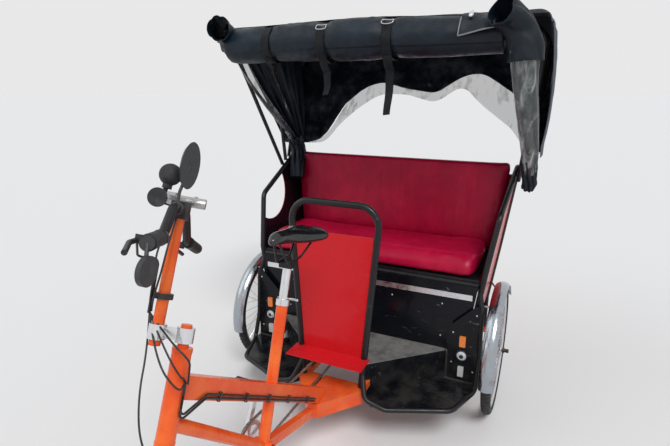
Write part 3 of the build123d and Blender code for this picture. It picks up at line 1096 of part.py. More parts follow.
# The origin is on the ground, midway along the vehicle
front_hub = (TURNED * Pos(0, -FORK_OFFSET, -HUB_DROP)).position
axle_y = sin(radians(REST_STEER)) * cos(head_lean)
front_reach = (FRONT_WHEEL_RADIUS - TYRE_WIDTH / 2) * sqrt(1 - axle_y ** 2) + TYRE_WIDTH / 2
middle_y = (front_hub.Y - front_reach + HOOD_REAR_Y) / 2
shift = Pos(0, -middle_y, 0)
box = None
for name, shape in NODES.items():
    placed = shift * shape
    export_step(placed, f"parts/{name}.step")
    bounds = placed.bounding_box()
    box = bounds if box is None else box.add(bounds)
print(len(NODES), "nodes, rear axle at y", round(REAR_AXLE_Y - middle_y, 2))
print("x", round(box.min.X), round(box.max.X), "y", round(box.min.Y), round(box.max.Y),
      "z", round(box.min.Z, 1), round(box.max.Z))
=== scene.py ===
# %% [markdown]
# # A pedal rickshaw, dressed around its CAD frame
# The CAD model gives every rigid piece its true size and place.
# This script gives each of those pieces a worn, procedural finish and adds
# what CAD leaves plain: cloth, cushions, tyre tread, chain links and small fasteners.
# Every length is in metres, +X is the vehicle's left, +Y its rear and +Z is up.

# %% Load the frame
import json
import math

import bmesh
import bpy
import numpy as np
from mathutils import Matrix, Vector


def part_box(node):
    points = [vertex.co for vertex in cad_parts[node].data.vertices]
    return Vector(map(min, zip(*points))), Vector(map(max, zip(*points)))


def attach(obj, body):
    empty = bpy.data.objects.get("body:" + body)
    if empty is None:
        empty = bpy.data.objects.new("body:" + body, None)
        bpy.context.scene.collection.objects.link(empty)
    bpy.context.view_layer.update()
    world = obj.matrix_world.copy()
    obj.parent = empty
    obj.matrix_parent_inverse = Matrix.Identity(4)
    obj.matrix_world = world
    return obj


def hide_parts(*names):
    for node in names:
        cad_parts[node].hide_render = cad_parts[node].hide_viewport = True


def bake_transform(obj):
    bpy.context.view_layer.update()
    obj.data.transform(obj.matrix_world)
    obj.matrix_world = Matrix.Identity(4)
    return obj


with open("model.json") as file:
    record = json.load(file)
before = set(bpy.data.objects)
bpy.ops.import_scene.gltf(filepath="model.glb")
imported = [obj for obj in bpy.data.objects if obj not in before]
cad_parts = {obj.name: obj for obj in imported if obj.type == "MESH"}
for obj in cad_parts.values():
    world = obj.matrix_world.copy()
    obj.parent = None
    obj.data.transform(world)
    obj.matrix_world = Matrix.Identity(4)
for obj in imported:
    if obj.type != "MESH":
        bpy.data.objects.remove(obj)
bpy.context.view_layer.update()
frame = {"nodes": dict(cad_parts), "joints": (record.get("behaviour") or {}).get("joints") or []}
nodes = frame["nodes"]
joints = {joint["name"]: joint for joint in frame["joints"]}

# %% [markdown]
# ## Camera
# A photograph fixes its camera once a few real sizes are known. Here the left rear wheel's
# ellipse, the beam and the seat rails gave a lens of 26 mm on a 36 mm sensor, held at 1.5 m
# and tilted 15 degrees down. The place is counted from the rear axle, which a joint names.

# %% Camera
CAMERA_FROM_AXLE = (0.815, -2.215)
CAMERA_HEIGHT = 1.5
CAMERA_TURN = 24.9
CAMERA_TILT = 15.3
LENS = 26.06

rear_axle = Vector(joints["rear_wheel_left_spin"]["pos_m"])
camera_data = bpy.data.cameras.new("camera")
camera = bpy.data.objects.new("camera", camera_data)
bpy.context.scene.collection.objects.link(camera)
bpy.context.scene.camera = camera
camera_data.lens = LENS
camera_data.sensor_width = 36
camera_data.clip_start = 0.05
camera.location = (CAMERA_FROM_AXLE[0], CAMERA_FROM_AXLE[1] + rear_axle.y, CAMERA_HEIGHT)
camera.rotation_euler = (math.radians(90 - CAMERA_TILT), 0, math.radians(CAMERA_TURN))
print("camera at", [round(value, 3) for value in camera.location])

# %% [markdown]
# ## Studio
# A pale floor and an even, soft light let the finishes speak. A wide sun gives every side a
# shadow with soft edges, and the world fills it in. Together they light a surface that faces
# them at about one, so that a colour renders as it is written.
# The world is near white to the camera and in reflections, as the floor is.

# %% Studio
def wide_sun(name, turn, height, power, width):
    """A sun from a compass turn and a height in degrees; its width softens the shadow."""
    data = bpy.data.lights.new(name, "SUN")
    data.energy = power
    data.angle = math.radians(width)
    lamp = bpy.data.objects.new(name, data)
    bpy.context.scene.collection.objects.link(lamp)
    lamp.rotation_euler = (math.radians(90 - height), 0, math.radians(turn))


wide_sun("key", 38, 52, 1.7, 24)
wide_sun("fill", -60, 38, 0.45, 50)

SKY_LIGHT = (0.95, 0.97, 1.0, 1)
SKY_POWER = 0.42
SKY_SEEN = (0.81, 0.81, 0.81, 1)
world = bpy.data.worlds.new("studio")
bpy.context.scene.world = world
world.use_nodes = True
sky = world.node_tree
sky_fill = sky.nodes["Background"]
sky_fill.inputs["Color"].default_value = SKY_LIGHT
sky_fill.inputs["Strength"].default_value = SKY_POWER
sky_seen = sky.nodes.new("ShaderNodeBackground")
sky_seen.inputs["Color"].default_value = SKY_SEEN
sky_pick = sky.nodes.new("ShaderNodeMixShader")
sky_path = sky.nodes.new("ShaderNodeLightPath")
sky_any = sky_path.outputs["Is Camera Ray"]
for ray in ("Is Glossy Ray", "Is Transmission Ray"):
    either = sky.nodes.new("ShaderNodeMath")
    either.operation = "MAXIMUM"
    sky.links.new(sky_any, either.inputs[0])
    sky.links.new(sky_path.outputs[ray], either.inputs[1])
    sky_any = either.outputs[0]
for number, output in enumerate((sky_any, sky_fill.outputs[0], sky_seen.outputs[0])):
    sky.links.new(output, sky_pick.inputs[number])
sky.links.new(sky_pick.outputs[0], sky.nodes["World Output"].inputs["Surface"])
bpy.context.scene.view_settings.view_transform = "Standard"
print("two suns and a pale world")

# %% [markdown]
# ## Meshes from arrays
# Each new piece is a grid of points worked out by numpy: a shape is a function of two
# parameters, or a profile carried along a path. One helper turns such a grid into a mesh
# with quads and a UV map.

# %% Grid to mesh
def mesh_object(name, points, quads, uvs=None, smooth=True):
    """An object from an array of points and one of corner indices, four to a face."""
    mesh = bpy.data.meshes.new(name)
    quads = np.asarray(quads, np.int32)
    mesh.vertices.add(len(points))
    mesh.vertices.foreach_set("co", np.asarray(points, np.float32).ravel())
    mesh.loops.add(quads.size)
    mesh.loops.foreach_set("vertex_index", quads.ravel())
    mesh.polygons.add(len(quads))
    mesh.polygons.foreach_set("loop_start", np.arange(len(quads), dtype=np.int32) * quads.shape[1])
    mesh.update(calc_edges=True)
    if uvs is not None:
        layer = mesh.uv_layers.new(name="UVMap")
        layer.data.foreach_set("uv", np.asarray(uvs, np.float32)[quads.ravel()].ravel())
    mesh.polygons.foreach_set("use_smooth", np.full(len(quads), smooth))
    mesh.validate()
    piece = bpy.data.objects.new(name, mesh)
    bpy.context.scene.collection.objects.link(piece)
    return piece


def grid_quads(rows, columns, close_rows=False, close_columns=False, first=0):
    """Corner indices of a grid's faces; a closed direction joins its last line to its first."""
    r = np.arange(rows if close_rows else rows - 1)
    c = np.arange(columns if close_columns else columns - 1)
    r, c = np.meshgrid(r, c, indexing="ij")
    r_next = (r + 1) % rows
    c_next = (c + 1) % columns
    corners = [r * columns + c, r_next * columns + c, r_next * columns + c_next, r * columns + c_next]
    return first + np.stack(corners, -1).reshape(-1, 4)


def surface(name, points, close_rows=False, close_columns=False, uv_scale=(1, 1), flip=False):
    """A grid of points, rows by columns by three, as one smooth surface with a UV map."""
    rows, columns = points.shape[:2]
    quads = grid_quads(rows, columns, close_rows, close_columns)
    if flip:
        quads = quads[:, ::-1]
    u = np.linspace(0, uv_scale[0], rows)
    v = np.linspace(0, uv_scale[1], columns)
    uvs = np.stack(np.meshgrid(u, v, indexing="ij"), -1).reshape(-1, 2)
    return mesh_object(name, points.reshape(-1, 3), quads, uvs)


def mesh_points(mesh):
    """A mesh's points as an array."""
    found = np.zeros(len(mesh.vertices) * 3)
    mesh.vertices.foreach_get("co", found)
    return found.reshape(-1, 3)


def evaluated_mesh(piece):
    """The piece's mesh with its modifiers worked in, as a new mesh."""
    graph = bpy.context.evaluated_depsgraph_get()
    return bpy.data.meshes.new_from_object(piece.evaluated_get(graph))


DOUBLED = 0.00005


def mended(piece, weld=False, cap=False):
    """Merges a piece's doubled points or closes its open rims, and points its faces outwards."""
    shape = bmesh.new()
    shape.from_mesh(piece.data)
    if weld:
        bmesh.ops.remove_doubles(shape, verts=shape.verts, dist=DOUBLED)
    if cap:
        rims = [edge for edge in shape.edges if edge.is_boundary]
        bmesh.ops.holes_fill(shape, edges=rims, sides=0)
    bmesh.ops.recalc_face_normals(shape, faces=shape.faces)
    shape.to_mesh(piece.data)
    shape.free()
    return piece


print("grid helpers ready")

# %% [markdown]
# ## Shapes along a path
# A path is a smooth curve through a few given points. A tube carries a round profile along
# it, turned no more than the path turns, and its radius may change along and around it.
# Unevenness is a sum of a few sine waves with random directions, from a fixed seed.

# %% Paths and tubes
def full_turn(count):
    """Evenly spaced angles of a full turn."""
    return np.linspace(0, 2 * np.pi, count, endpoint=False)


def ramp(value, start, width):
    """A straight rise from 0 at a start to 1 one width further on; a negative width runs back."""
    return np.clip((value - start) / width, 0, 1)


def bell(value, middle, width):
    """A bell curve that is 1 at its middle."""
    return np.exp(-((value - middle) / width) ** 2)


def unit(vectors):
    """The same directions, with a length of one."""
    return vectors / np.linalg.norm(vectors, axis=-1, keepdims=True)


def side_directions(path):
    """Two steady directions across each point of a path, with no twist."""
    tangent = unit(np.gradient(path, axis=0))
    side = np.zeros_like(tangent)
    side[0] = unit(np.cross(tangent[0], (0, 0, 1) if abs(tangent[0, 2]) < 0.9 else (1, 0, 0)))
    for i in range(1, len(path)):
        side[i] = unit(side[i - 1] - tangent[i] * np.dot(side[i - 1], tangent[i]))
    return side, np.cross(tangent, side)


def smooth_path(points, count):
    """A path through given points: a Catmull-Rom curve, sampled evenly in its parameter."""
    points = np.asarray(points, float)
    ends = np.vstack([2 * points[0] - points[1], points, 2 * points[-1] - points[-2]])
    t = np.linspace(0, len(points) - 1, count)
    i = np.minimum(t.astype(int), len(points) - 2)
    f = (t - i)[:, None]
    a, b, c, d = ends[i], ends[i + 1], ends[i + 2], ends[i + 3]
    square = (2 * a - 5 * b + 4 * c - d) * f ** 2
    return 0.5 * (2 * b + (c - a) * f + square + (3 * b - a - 3 * c + d) * f ** 3)


def tube(name, path, radius, around, capped=True):
    """A profile along a path: the radius is a number, or a function of share along and angle."""
    path = np.asarray(path, float)
    side, up = side_directions(path)
    share = np.linspace(0, 1, len(path))[:, None]
    angle = full_turn(around)[None]
    reach = np.broadcast_to(radius(share, angle) if callable(radius) else radius, (len(path), around))
    outwards = np.cos(angle)[..., None] * side[:, None] + np.sin(angle)[..., None] * up[:, None]
    points = path[:, None] + reach[..., None] * outwards
    if capped:
        first, last = [np.repeat(path[[end], None], around, 1) for end in (0, -1)]
        points = np.concatenate([first, points, last])
    return surface(name, points, close_columns=True, flip=True)


def evenly(line, count):
    """Evenly spaced points along a flat line, with both of its ends."""
    travelled = np.concatenate([[0], np.cumsum(np.hypot(*np.diff(line, axis=0).T))])
    even = np.linspace(0, travelled[-1], count)
    return np.stack([np.interp(even, travelled, line[:, i]) for i in (0, 1)], -1)


def ripple(x, y, seed, waves=6, base=1.0):
    """Smooth unevenness from about -1 to 1: sine waves of random direction, finer and weaker in turn."""
    rng = np.random.default_rng(seed)
    total = np.zeros(np.broadcast(x, y).shape)
    for i in range(waves):
        angle, phase = rng.uniform(0, 2 * np.pi, 2)
        pitch = base * 1.6 ** i
        total += np.sin((x * np.cos(angle) + y * np.sin(angle)) * pitch + phase) / 1.35 ** i
    return total / 2.6


print("path helpers ready")

# %% [markdown]
# ## A recipe for a finish
# A worn finish is a base colour, a slow change of it, small damage and dust on top.
# The same handful of nodes makes all of them, so a small class adds them by name.
# The patterns read Object coordinates, which stay put because every piece sits at the origin.

# %% Recipe
class Recipe:
    """One material: a Principled shader, and methods that each add a node and return its output."""

    def __init__(self, name, colour, roughness=0.5, metallic=0.0, coat=None, specular=None):
        self.material = bpy.data.materials.new(name)
        self.material.use_nodes = True
        self.tree = self.material.node_tree
        self.shader = self.tree.nodes["Principled BSDF"].inputs
        self.place = self.node("TexCoord", {}).outputs["Object"]
        self.parts = None
        plain = {"Base Color": (*colour, 1), "Roughness": roughness, "Metallic": metallic}
        if coat is not None:
            plain["Coat Weight"], plain["Coat Roughness"] = coat
        if specular is not None:
            plain["Specular IOR Level"] = specular
        for socket, value in plain.items():
            self.shader[socket].default_value = value

    def feed(self, socket, value):
        """Gives a socket another node's output, or a plain value."""
        if isinstance(value, bpy.types.NodeSocket):
            self.tree.links.new(value, socket)
        else:
            socket.default_value = value

    def node(self, kind, inputs, **settings):
        """A new node with its settings and inputs, which go by name or by number."""
        node = self.tree.nodes.new("ShaderNode" + kind)
        for name, value in settings.items():
            setattr(node, name, value)
        for name, value in inputs.items():
            self.feed(node.inputs[name], value)
        return node

    def scaled(self, scale):
        """The coordinates, scaled by one number or by three."""
        scale = scale if isinstance(scale, tuple) else (scale, scale, scale)
        return self.node("Mapping", {"Vector": self.place, "Scale": scale}).outputs[0]

    def noise(self, scale, detail=3.0, distortion=0.0, roughness=0.55):
        """Soft noise from 0 to 1; the scale is in lumps per metre."""
        inputs = {"Vector": self.scaled(scale), "Scale": 1, "Detail": detail,
                  "Roughness": roughness, "Distortion": distortion}
        return self.node("TexNoise", inputs).outputs["Fac"]

    def cells(self, scale):
        """Distance from the middles of Voronoi cells; the scale is in cells per metre."""
        return self.node("TexVoronoi", {"Vector": self.scaled(scale), "Scale": 1}).outputs["Distance"]

    def waves(self, scale, direction):
        """Even sine bands across one axis."""
        inputs = {"Vector": self.scaled(scale), "Scale": 1}
        return self.node("TexWave", inputs, bands_direction=direction).outputs["Fac"]

    def axis(self, letter):
        """One coordinate of the point, in metres."""
        if self.parts is None:
            self.parts = self.node("SeparateXYZ", {0: self.place})
        return self.parts.outputs[letter]

    def math(self, operation, first, second=0.0):
        """One arithmetic step on two values, either of which may be a plain number."""
        return self.node("Math", {0: first, 1: second}, operation=operation).outputs[0]

    def width(self):
        """How far the point lies from the vehicle's middle plane."""
        return self.math("ABSOLUTE", self.axis("X"))

    def between(self, value, low, high, to_low=0.0, to_high=1.0):
        """A smooth step of a value between two limits, clamped at both."""
        inputs = {"Value": value, "From Min": low, "From Max": high, "To Min": to_low, "To Max": to_high}
        return self.node("MapRange", inputs, interpolation_type="SMOOTHSTEP").outputs[0]

    def patches(self, scale, detail, low, high, to_low=0.0, to_high=1.0, **noise):
        """Noise cut by a smooth step: soft patches, or sharp ones where the limits are close."""
        return self.between(self.noise(scale, detail, **noise), low, high, to_low, to_high)

    def mix(self, factor, first, second):
        """A blend of two colours, each a triple or an output; the colour sockets go by number."""
        first, second = [(*value, 1) if isinstance(value, tuple) else value for value in (first, second)]
        return self.node("Mix", {"Factor": factor, 6: first, 7: second}, data_type="RGBA").outputs[2]

    def bump(self, height, depth, strength, below=None):
        """Relief of a height from 0 to 1, this deep in metres, on top of another relief."""
        inputs = {"Height": height, "Distance": depth, "Strength": strength}
        if below is not None:
            inputs["Normal"] = below
        return self.node("Bump", inputs).outputs[0]

    def paint(self, *blend):
        """The base colour, from a blend's share and its two colours."""
        self.feed(self.shader["Base Color"], self.mix(*blend))

    def gloss(self, roughness):
        """The roughness."""
        self.feed(self.shader["Roughness"], roughness)

    def relief(self, *layer):
        """The fine relief, from what one bump needs."""
        self.feed(self.shader["Normal"], self.bump(*layer))


def dress(material, *names):
    """Gives CAD nodes a finish, in the slots of their own objects."""
    for name in names:
        nodes[name].data.materials.clear()
        nodes[name].data.materials.append(material)


print("recipe ready")

# %% [markdown]
# ## Enamel on the steel frame
# The frame is sprayed a bright orange-red. In years of city use the paint fades a little
# unevenly, chips show dark primer, and road dust sticks to what is low.
# Slow noise shifts the colour, sharp noise makes the chips and the height fades in the dust.

# %% Enamel
ORANGE_RED = (0.84, 0.085, 0.012)
FADED_ORANGE = (0.94, 0.17, 0.026)
PRIMER = (0.05, 0.035, 0.03)
ROAD_DUST = (0.23, 0.20, 0.17)


def enamel(name, colour, faded):
    """Sprayed paint: slow fading, dark chips, dust low down and a clear gloss."""
    recipe = Recipe(name, colour, coat=(0.12, 0.12), specular=0.3)
    coat = recipe.mix(recipe.patches(7, 4, 0.35, 0.7), colour, faded)
    chips = recipe.patches(60, 5, 0.70, 0.715, roughness=0.7)
    damage = recipe.math("MULTIPLY", chips, recipe.patches(9, 2, 0.52, 0.62))
    low = recipe.between(recipe.axis("Z"), 0.55, 0.12, 0, 0.26)
    film = recipe.math("MULTIPLY", low, recipe.patches(22, 6, 0.4, 0.75))
    recipe.paint(film, recipe.mix(damage, coat, PRIMER), ROAD_DUST)
    recipe.gloss(recipe.math("ADD", recipe.patches(35, 4, 0.3, 0.8, 0.24, 0.42), film))
    sprayed = recipe.bump(recipe.noise(240, 2), 0.0004, 0.25)
    recipe.relief(recipe.math("SUBTRACT", 1, damage), 0.0003, 0.6, sprayed)
    return recipe.material


frame_enamel = enamel("frame_enamel", ORANGE_RED, FADED_ORANGE)
dress(frame_enamel, "head_tube", "main_beam", "down_tube", "bottom_bracket", "seat_tube",
      "chassis_yoke", "riser_tube", "fork", "chassis")
print("frame enamelled")

# %% [markdown]
# ## Satin black tubes
# The loops, rims and bows are powder coated black. Hands and shoes rub the coat grey in
# patches, and its gloss is uneven.

# %% Black powder coat
def powder_coat(name, colour, rubbed, wear):
    """Fine orange-peel black that is rubbed lighter in patches; more wear makes them wider."""
    recipe = Recipe(name, colour, specular=0.35)
    recipe.paint(recipe.patches(13, 6, 1 - wear, 1.12 - wear, roughness=0.65), colour, rubbed)
    recipe.gloss(recipe.patches(28, 5, 0.3, 0.75, 0.26, 0.5))
    recipe.relief(recipe.noise(900, 2), 0.0003, 0.35)
    return recipe.material


tube_black = powder_coat("tube_black", (0.008, 0.008, 0.010), (0.06, 0.06, 0.065), 0.34)
axle_black = powder_coat("axle_black", (0.018, 0.017, 0.017), (0.12, 0.10, 0.085), 0.48)
dress(tube_black, "driver_hoop", "side_loops", "step_rims", "hood_bows", "bench_frame", "handlebar",
      "saddle_rails")
dress(axle_black, "rear_axle")
print("tubes coated")

# %% [markdown]
# ## Bare metal
# Cast, brushed, zinc-plated and polished metal differ mostly in how rough they are and in
# what clings to them. All of them keep fine hairline scratches.

# %% Metals
GRIME = (0.09, 0.075, 0.06)


def bare_metal(name, colour, roughness, spread, grime, scratches=0.1):
    """Metal with uneven polish, hairline scratches and grime in patches."""
    recipe = Recipe(name, colour, metallic=1.0)
    dirt = recipe.patches(18, 7, 0.52, 0.80, 0, grime, roughness=0.7)
    recipe.paint(dirt, colour, GRIME)
    polish = recipe.patches(40, 5, 0.3, 0.75, roughness - spread, roughness + spread)
    recipe.gloss(recipe.math("ADD", polish, recipe.math("MULTIPLY", dirt, 0.5)))
    recipe.relief(recipe.noise((900, 30, 900), 2), 0.0002, scratches)
    return recipe.material


spoke_steel = bare_metal("spoke_steel", (0.62, 0.63, 0.65), 0.28, 0.08, 0.3, 0.05)
cast_alloy = bare_metal("cast_alloy", (0.74, 0.75, 0.77), 0.34, 0.1, 0.25)
zinc_plate = bare_metal("zinc_plate", (0.52, 0.52, 0.52), 0.36, 0.12, 0.55)
chain_steel = bare_metal("chain_steel", (0.30, 0.27, 0.24), 0.42, 0.12, 0.8)
guard_metal = bare_metal("guard_metal", (0.40, 0.43, 0.47), 0.20, 0.09, 0.55, 0.12)
dress(guard_metal, "mudguards")
dress(spoke_steel, "front_wheel", "rear_wheel_left", "rear_wheel_right")
dress(cast_alloy, "seat_post", "seat_collar", "stem", "crank_set", "trim_strip")
dress(zinc_plate, "chainring", "bar_lamp")
print("metals dressed")

# %% [markdown]
# ## Panels
# The side and back panels are glossy red sheet, and the board, the steps and the lamp
# panels glossy black, scuffed by shoes. Scuffs are thin pale streaks: noise stretched
# along the walk-in direction, cut sharply. The side panels are black inside: a point's
# distance from the leaning middle plane of the panel tells which face it is on.

# %% Panels
SIDE_BASE = 0.5675
SIDE_BASE_HEIGHT = 0.666
SIDE_LEAN = math.tan(math.radians(7.6))
RED = (0.60, 0.012, 0.018)
WORN_RED = (0.66, 0.10, 0.10)
INSIDE_BLACK = (0.012, 0.006, 0.010)


def gloss_sheet(name, colour, worn, roughness, scuffs, inner=None):
    """Glossy sheet with fine scuffs, smears and low dust, and another colour inside the cabin."""
    recipe = Recipe(name, colour, coat=(0.05, 0.1), specular=0.2)
    streaks = recipe.patches((14, 90, 40), 6, 0.62, 0.66, distortion=0.6, roughness=0.7)
    trodden = recipe.math("MULTIPLY", streaks, recipe.patches(6, 3, 0.40, 0.62))
    scuff = recipe.math("MULTIPLY", trodden, scuffs)
    base = recipe.mix(scuff, colour, worn)
    if inner is not None:
        height = recipe.math("SUBTRACT", recipe.axis("Z"), SIDE_BASE_HEIGHT)
        middle = recipe.math("ADD", recipe.math("MULTIPLY", height, SIDE_LEAN), SIDE_BASE)
        past_middle = recipe.math("SUBTRACT", recipe.width(), middle)
        base = recipe.mix(recipe.between(past_middle, -0.0004, 0.0004), inner, base)
    low = recipe.between(recipe.axis("Z"), 0.42, 0.16, 0, 0.16)
    recipe.paint(recipe.math("MULTIPLY", low, recipe.patches(11, 6, 0.35, 0.7)), base, ROAD_DUST)
    smears = recipe.patches((9, 26, 9), 5, 0.3, 0.75, roughness * 0.7, roughness * 1.6, distortion=1.2)
    recipe.gloss(recipe.math("ADD", smears, recipe.math("MULTIPLY", scuff, 0.25)))
    recipe.relief(recipe.noise(5, 2), 0.004, 0.12)
    return recipe.material


red_sheet = gloss_sheet("red_sheet", RED, WORN_RED, 0.24, 0.25)
side_sheet = gloss_sheet("side_sheet", RED, WORN_RED, 0.24, 0.25, INSIDE_BLACK)
black_sheet = gloss_sheet("black_sheet", (0.004, 0.005, 0.008), (0.11, 0.115, 0.12), 0.20, 0.7)
dress(red_sheet, "driver_back_panel", "back_panel")
dress(side_sheet, "side_panels")
dress(black_sheet, "front_board", "step_trays", "lamp_panels")
print("panels dressed")

# %% [markdown]
# ## Moulded plastic and rubber
# Grips, levers, mirrors and pedals are dull black mouldings with a fine grain.

# %% Mouldings
def moulding(name, colour, roughness, grain=1200, depth=0.0003):
    """Moulded plastic or rubber: fine grain, and greyer where it is handled or dusty."""
    recipe = Recipe(name, colour)
    grey = tuple(0.5 * value + 0.06 for value in colour)
    recipe.paint(recipe.patches(25, 6, 0.5, 0.8, 0, 0.6), colour, grey)
    recipe.gloss(recipe.patches(60, 4, 0.3, 0.7, roughness - 0.1, roughness + 0.12))
    recipe.relief(recipe.noise(grain, 2), depth, 0.5)
    return recipe.material


dull_plastic = moulding("dull_plastic", (0.016, 0.016, 0.018), 0.48)
grip_rubber = moulding("grip_rubber", (0.02, 0.02, 0.022), 0.72, 700, 0.0006)
cable_sheath = moulding("cable_sheath", (0.012, 0.012, 0.013), 0.42)
mirror_shell = moulding("mirror_shell", (0.030, 0.031, 0.034), 0.40)
dress(dull_plastic, "brake_levers", "bar_clamp")
dress(mirror_shell, "mirrors")
dress(grip_rubber, "grips", "pedal_left", "pedal_right", "horn")
dress(cable_sheath, "bar_cables", "frame_cables")
print("mouldings dressed")

# %% [markdown]
# ## Floor sheet and lenses
# The floor is a grey ribbed sheet, and the reflectors are ribbed amber and clear plastic.

# %% Floor and lenses
FLOOR_GREY = (0.21, 0.21, 0.20)
FLOOR_DIRT = (0.07, 0.065, 0.06)
AMBER = (0.85, 0.17, 0.008)
WHITE_LENS = (0.72, 0.73, 0.72)
AMBER_FOOT = 0.33


def ribbed_floor(name):
    """Grey rubber sheet with narrow ribs and trodden dirt."""
    recipe = Recipe(name, FLOOR_GREY, 0.6)
    recipe.paint(recipe.patches(16, 7, 0.38, 0.72, 0, 0.8, roughness=0.7), FLOOR_GREY, FLOOR_DIRT)
    ribs = recipe.bump(recipe.waves(55, "X"), 0.0012, 0.5)
    recipe.relief(recipe.noise(300, 3), 0.0006, 0.4, ribs)
    return recipe.material


def lens(name, colour, prism_glint, low_colour=None):
    """A ribbed lens: a grid of prisms under a glossy face, each prism's middle painted brighter as a glint;
    below the amber it may be of another colour.
    """
    recipe = Recipe(name, colour, 0.12, coat=(0.8, 0.05))
    prisms = recipe.cells(260)
    # each prism's middle is painted in the glint colour, a painted highlight
    shade = recipe.mix(recipe.between(prisms, 0.1, 0.6), prism_glint, colour)
    if low_colour is not None:
        upper = recipe.between(recipe.axis("Z"), AMBER_FOOT - 0.002, AMBER_FOOT + 0.002)
        shade = recipe.mix(upper, low_colour, shade)
    recipe.feed(recipe.shader["Base Color"], shade)
    recipe.relief(prisms, 0.0008, 0.6)
    return recipe.material


dress(ribbed_floor("floor_sheet"), "floor")
dress(lens("amber_lens", AMBER, (1.0, 0.42, 0.06), WHITE_LENS), "reflectors")
dress(lens("clear_lens", (0.62, 0.66, 0.70), (0.93, 0.95, 0.97)), "marker_lamps")
dress(lens("red_lens", (0.45, 0.008, 0.008), (0.80, 0.03, 0.02)), "tail_lamps")
print("floor and lenses dressed")

# %% [markdown]
# ## Places on the vehicle
# The cabin is described from the cross member under the front of its bench, because the
# seat, the hood and the sides were all measured from there. It lies 120 mm ahead of the axle.

# %% Places
CROSS_Y = rear_axle.y - 0.12


def from_cross(points):
    """Points measured from the cross member, moved to the frame's own origin."""
    points = np.array(points, float)
    points[..., 1] += CROSS_Y
    return points


def thicken(piece, depth):
    """Gives a sheet its thickness with a Solidify modifier, half to each side."""
    modifier = piece.modifiers.new("thickness", "SOLIDIFY")
    modifier.thickness = depth
    modifier.offset = 0


def finish_piece(piece, body, slot, material, *replaced):
    """Material, body and the CAD nodes that the piece stands for; the slot is not used."""
    piece.data.materials.clear()
    piece.data.materials.append(material)
    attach(piece, body)
    if replaced:
        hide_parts(*replaced)


print("cross member at y", round(CROSS_Y, 4))

# %% [markdown]
# ## Tyres
# A bicycle tyre is a round section with a moulded tread. The ring could be a torus with a
# bump map, but the tread shows on the outline, so its blocks are real: a wave round the wheel
# times a window across the section lifts the rubber by two and a half millimetres.

# %% Tyres
TYRE_SECTION = 0.024
TREAD_DEPTH = 0.0026
TREAD_BLOCKS = 76
TYRES = (("rear_tyre_left", "rear_wheel_left_spin", 0.305),  # node, joint, outer radius
         ("rear_tyre_right", "rear_wheel_right_spin", 0.305),
         ("front_tyre", "front_wheel_spin", 0.302))


def tyre_points(outer):
    """A ring of sections: an arc of 228 degrees with blocks, a centre rib and two wall rings."""
    turn = full_turn(TREAD_BLOCKS * 6)[:, None]
    across = np.radians(np.linspace(-114, 114, 43))[None]
    wide = np.degrees(np.abs(across))
    wave = np.sin(TREAD_BLOCKS * turn + 0.045 * wide * np.sign(across))
    shoulder = ramp(wide, 58, -5) * ramp(wide, 7, 3)
    rib = ramp(wide, 5.5, -2)
    lift = TREAD_DEPTH * np.maximum(np.clip(0.5 + 2.6 * wave, 0, 1) * shoulder, rib)
    rings = 0.0007 * (bell(wide, 76, 1.6) + bell(wide, 98, 1.6))
    section = TYRE_SECTION - TREAD_DEPTH + lift + rings
    reach = outer - TYRE_SECTION + section * np.cos(across)
    return np.stack([section * np.sin(across), reach * np.cos(turn), reach * np.sin(turn)], -1)


def on_axle(points, joint):
    """Turns local points, axle along X, onto a wheel joint's axle."""
    axis = unit(np.array(joint["axis"], float))
    level = unit(np.cross((0, 0, 1), axis))
    return points @ np.stack([axis, level, np.cross(axis, level)]) + np.array(joint["pos_m"])


def tyre_rubber(name, colour=(0.014, 0.014, 0.015)):
    """Black rubber that is grey with dust in the tread and along the wall."""
    recipe = Recipe(name, colour)
    recipe.paint(recipe.patches(30, 6, 0.42, 0.78, 0, 0.55, roughness=0.7), colour, (0.085, 0.078, 0.07))
    recipe.gloss(recipe.patches(45, 4, 0.3, 0.7, 0.6, 0.88))
    recipe.relief(recipe.noise(600, 3), 0.0004, 0.4)
    return recipe.material


rubber_black = tyre_rubber("rubber_black")
for node, joint_name, outer in TYRES:
    joint = joints[joint_name]
    ring = surface(node + "_tread", on_axle(tyre_points(outer), joint), True, True)
    finish_piece(mended(ring, weld=True), joint["child"], "tyre", rubber_black, node)
    print(node, len(ring.data.polygons), "faces")

# %% [markdown]
# ## Roller chain
# A real chain is pairs of plates and rollers. One link is a few dozen faces, and numpy
# repeats it along the belt line round both toothed wheels, inner and outer links in turn.

# %% Chain
CHAIN_PITCH = 0.0127
CHAIN_X = -0.054
CHAINRING_TEETH = 36
SPROCKET_TEETH = 20
PLATE_X = (0.0022, 0.0034)
PLATE_DEPTH = 0.001
PLATE_FACES = ((0, 1, 2, 3), (3, 4, 5, 6), (0, 3, 6, 7))
ROLLER_X = 0.0024
ROLLER_RADIUS = 0.0037


def circle(radius, angle):
    """Points of a flat circle at some angles."""
    return radius * np.stack([np.cos(angle), np.sin(angle)], -1)


def pitch_radius(teeth):
    """Radius of the circle that the chain's joints lie on round a toothed wheel."""
    return CHAIN_PITCH / (2 * math.sin(math.pi / teeth))


def belt_line(front, front_radius, back, back_radius):
    """The chain's joints round two circles, on two tangents and two arcs, an even number of them."""
    gap = back - front
    slope = np.arctan2(gap[1], gap[0])
    turn = np.arcsin((front_radius - back_radius) / np.hypot(*gap))
    up = np.pi / 2 - turn + slope
    down = -np.pi / 2 + turn + slope
    back_arc = back + circle(back_radius, np.linspace(up, down, 200))
    front_arc = front + circle(front_radius, np.linspace(down, up - 2 * np.pi, 200))
    line = np.concatenate([back_arc, front_arc, back_arc[:1]])
    length = np.hypot(*np.diff(line, axis=0).T).sum()
    return evenly(line, int(round(length / CHAIN_PITCH / 2)) * 2 + 1)


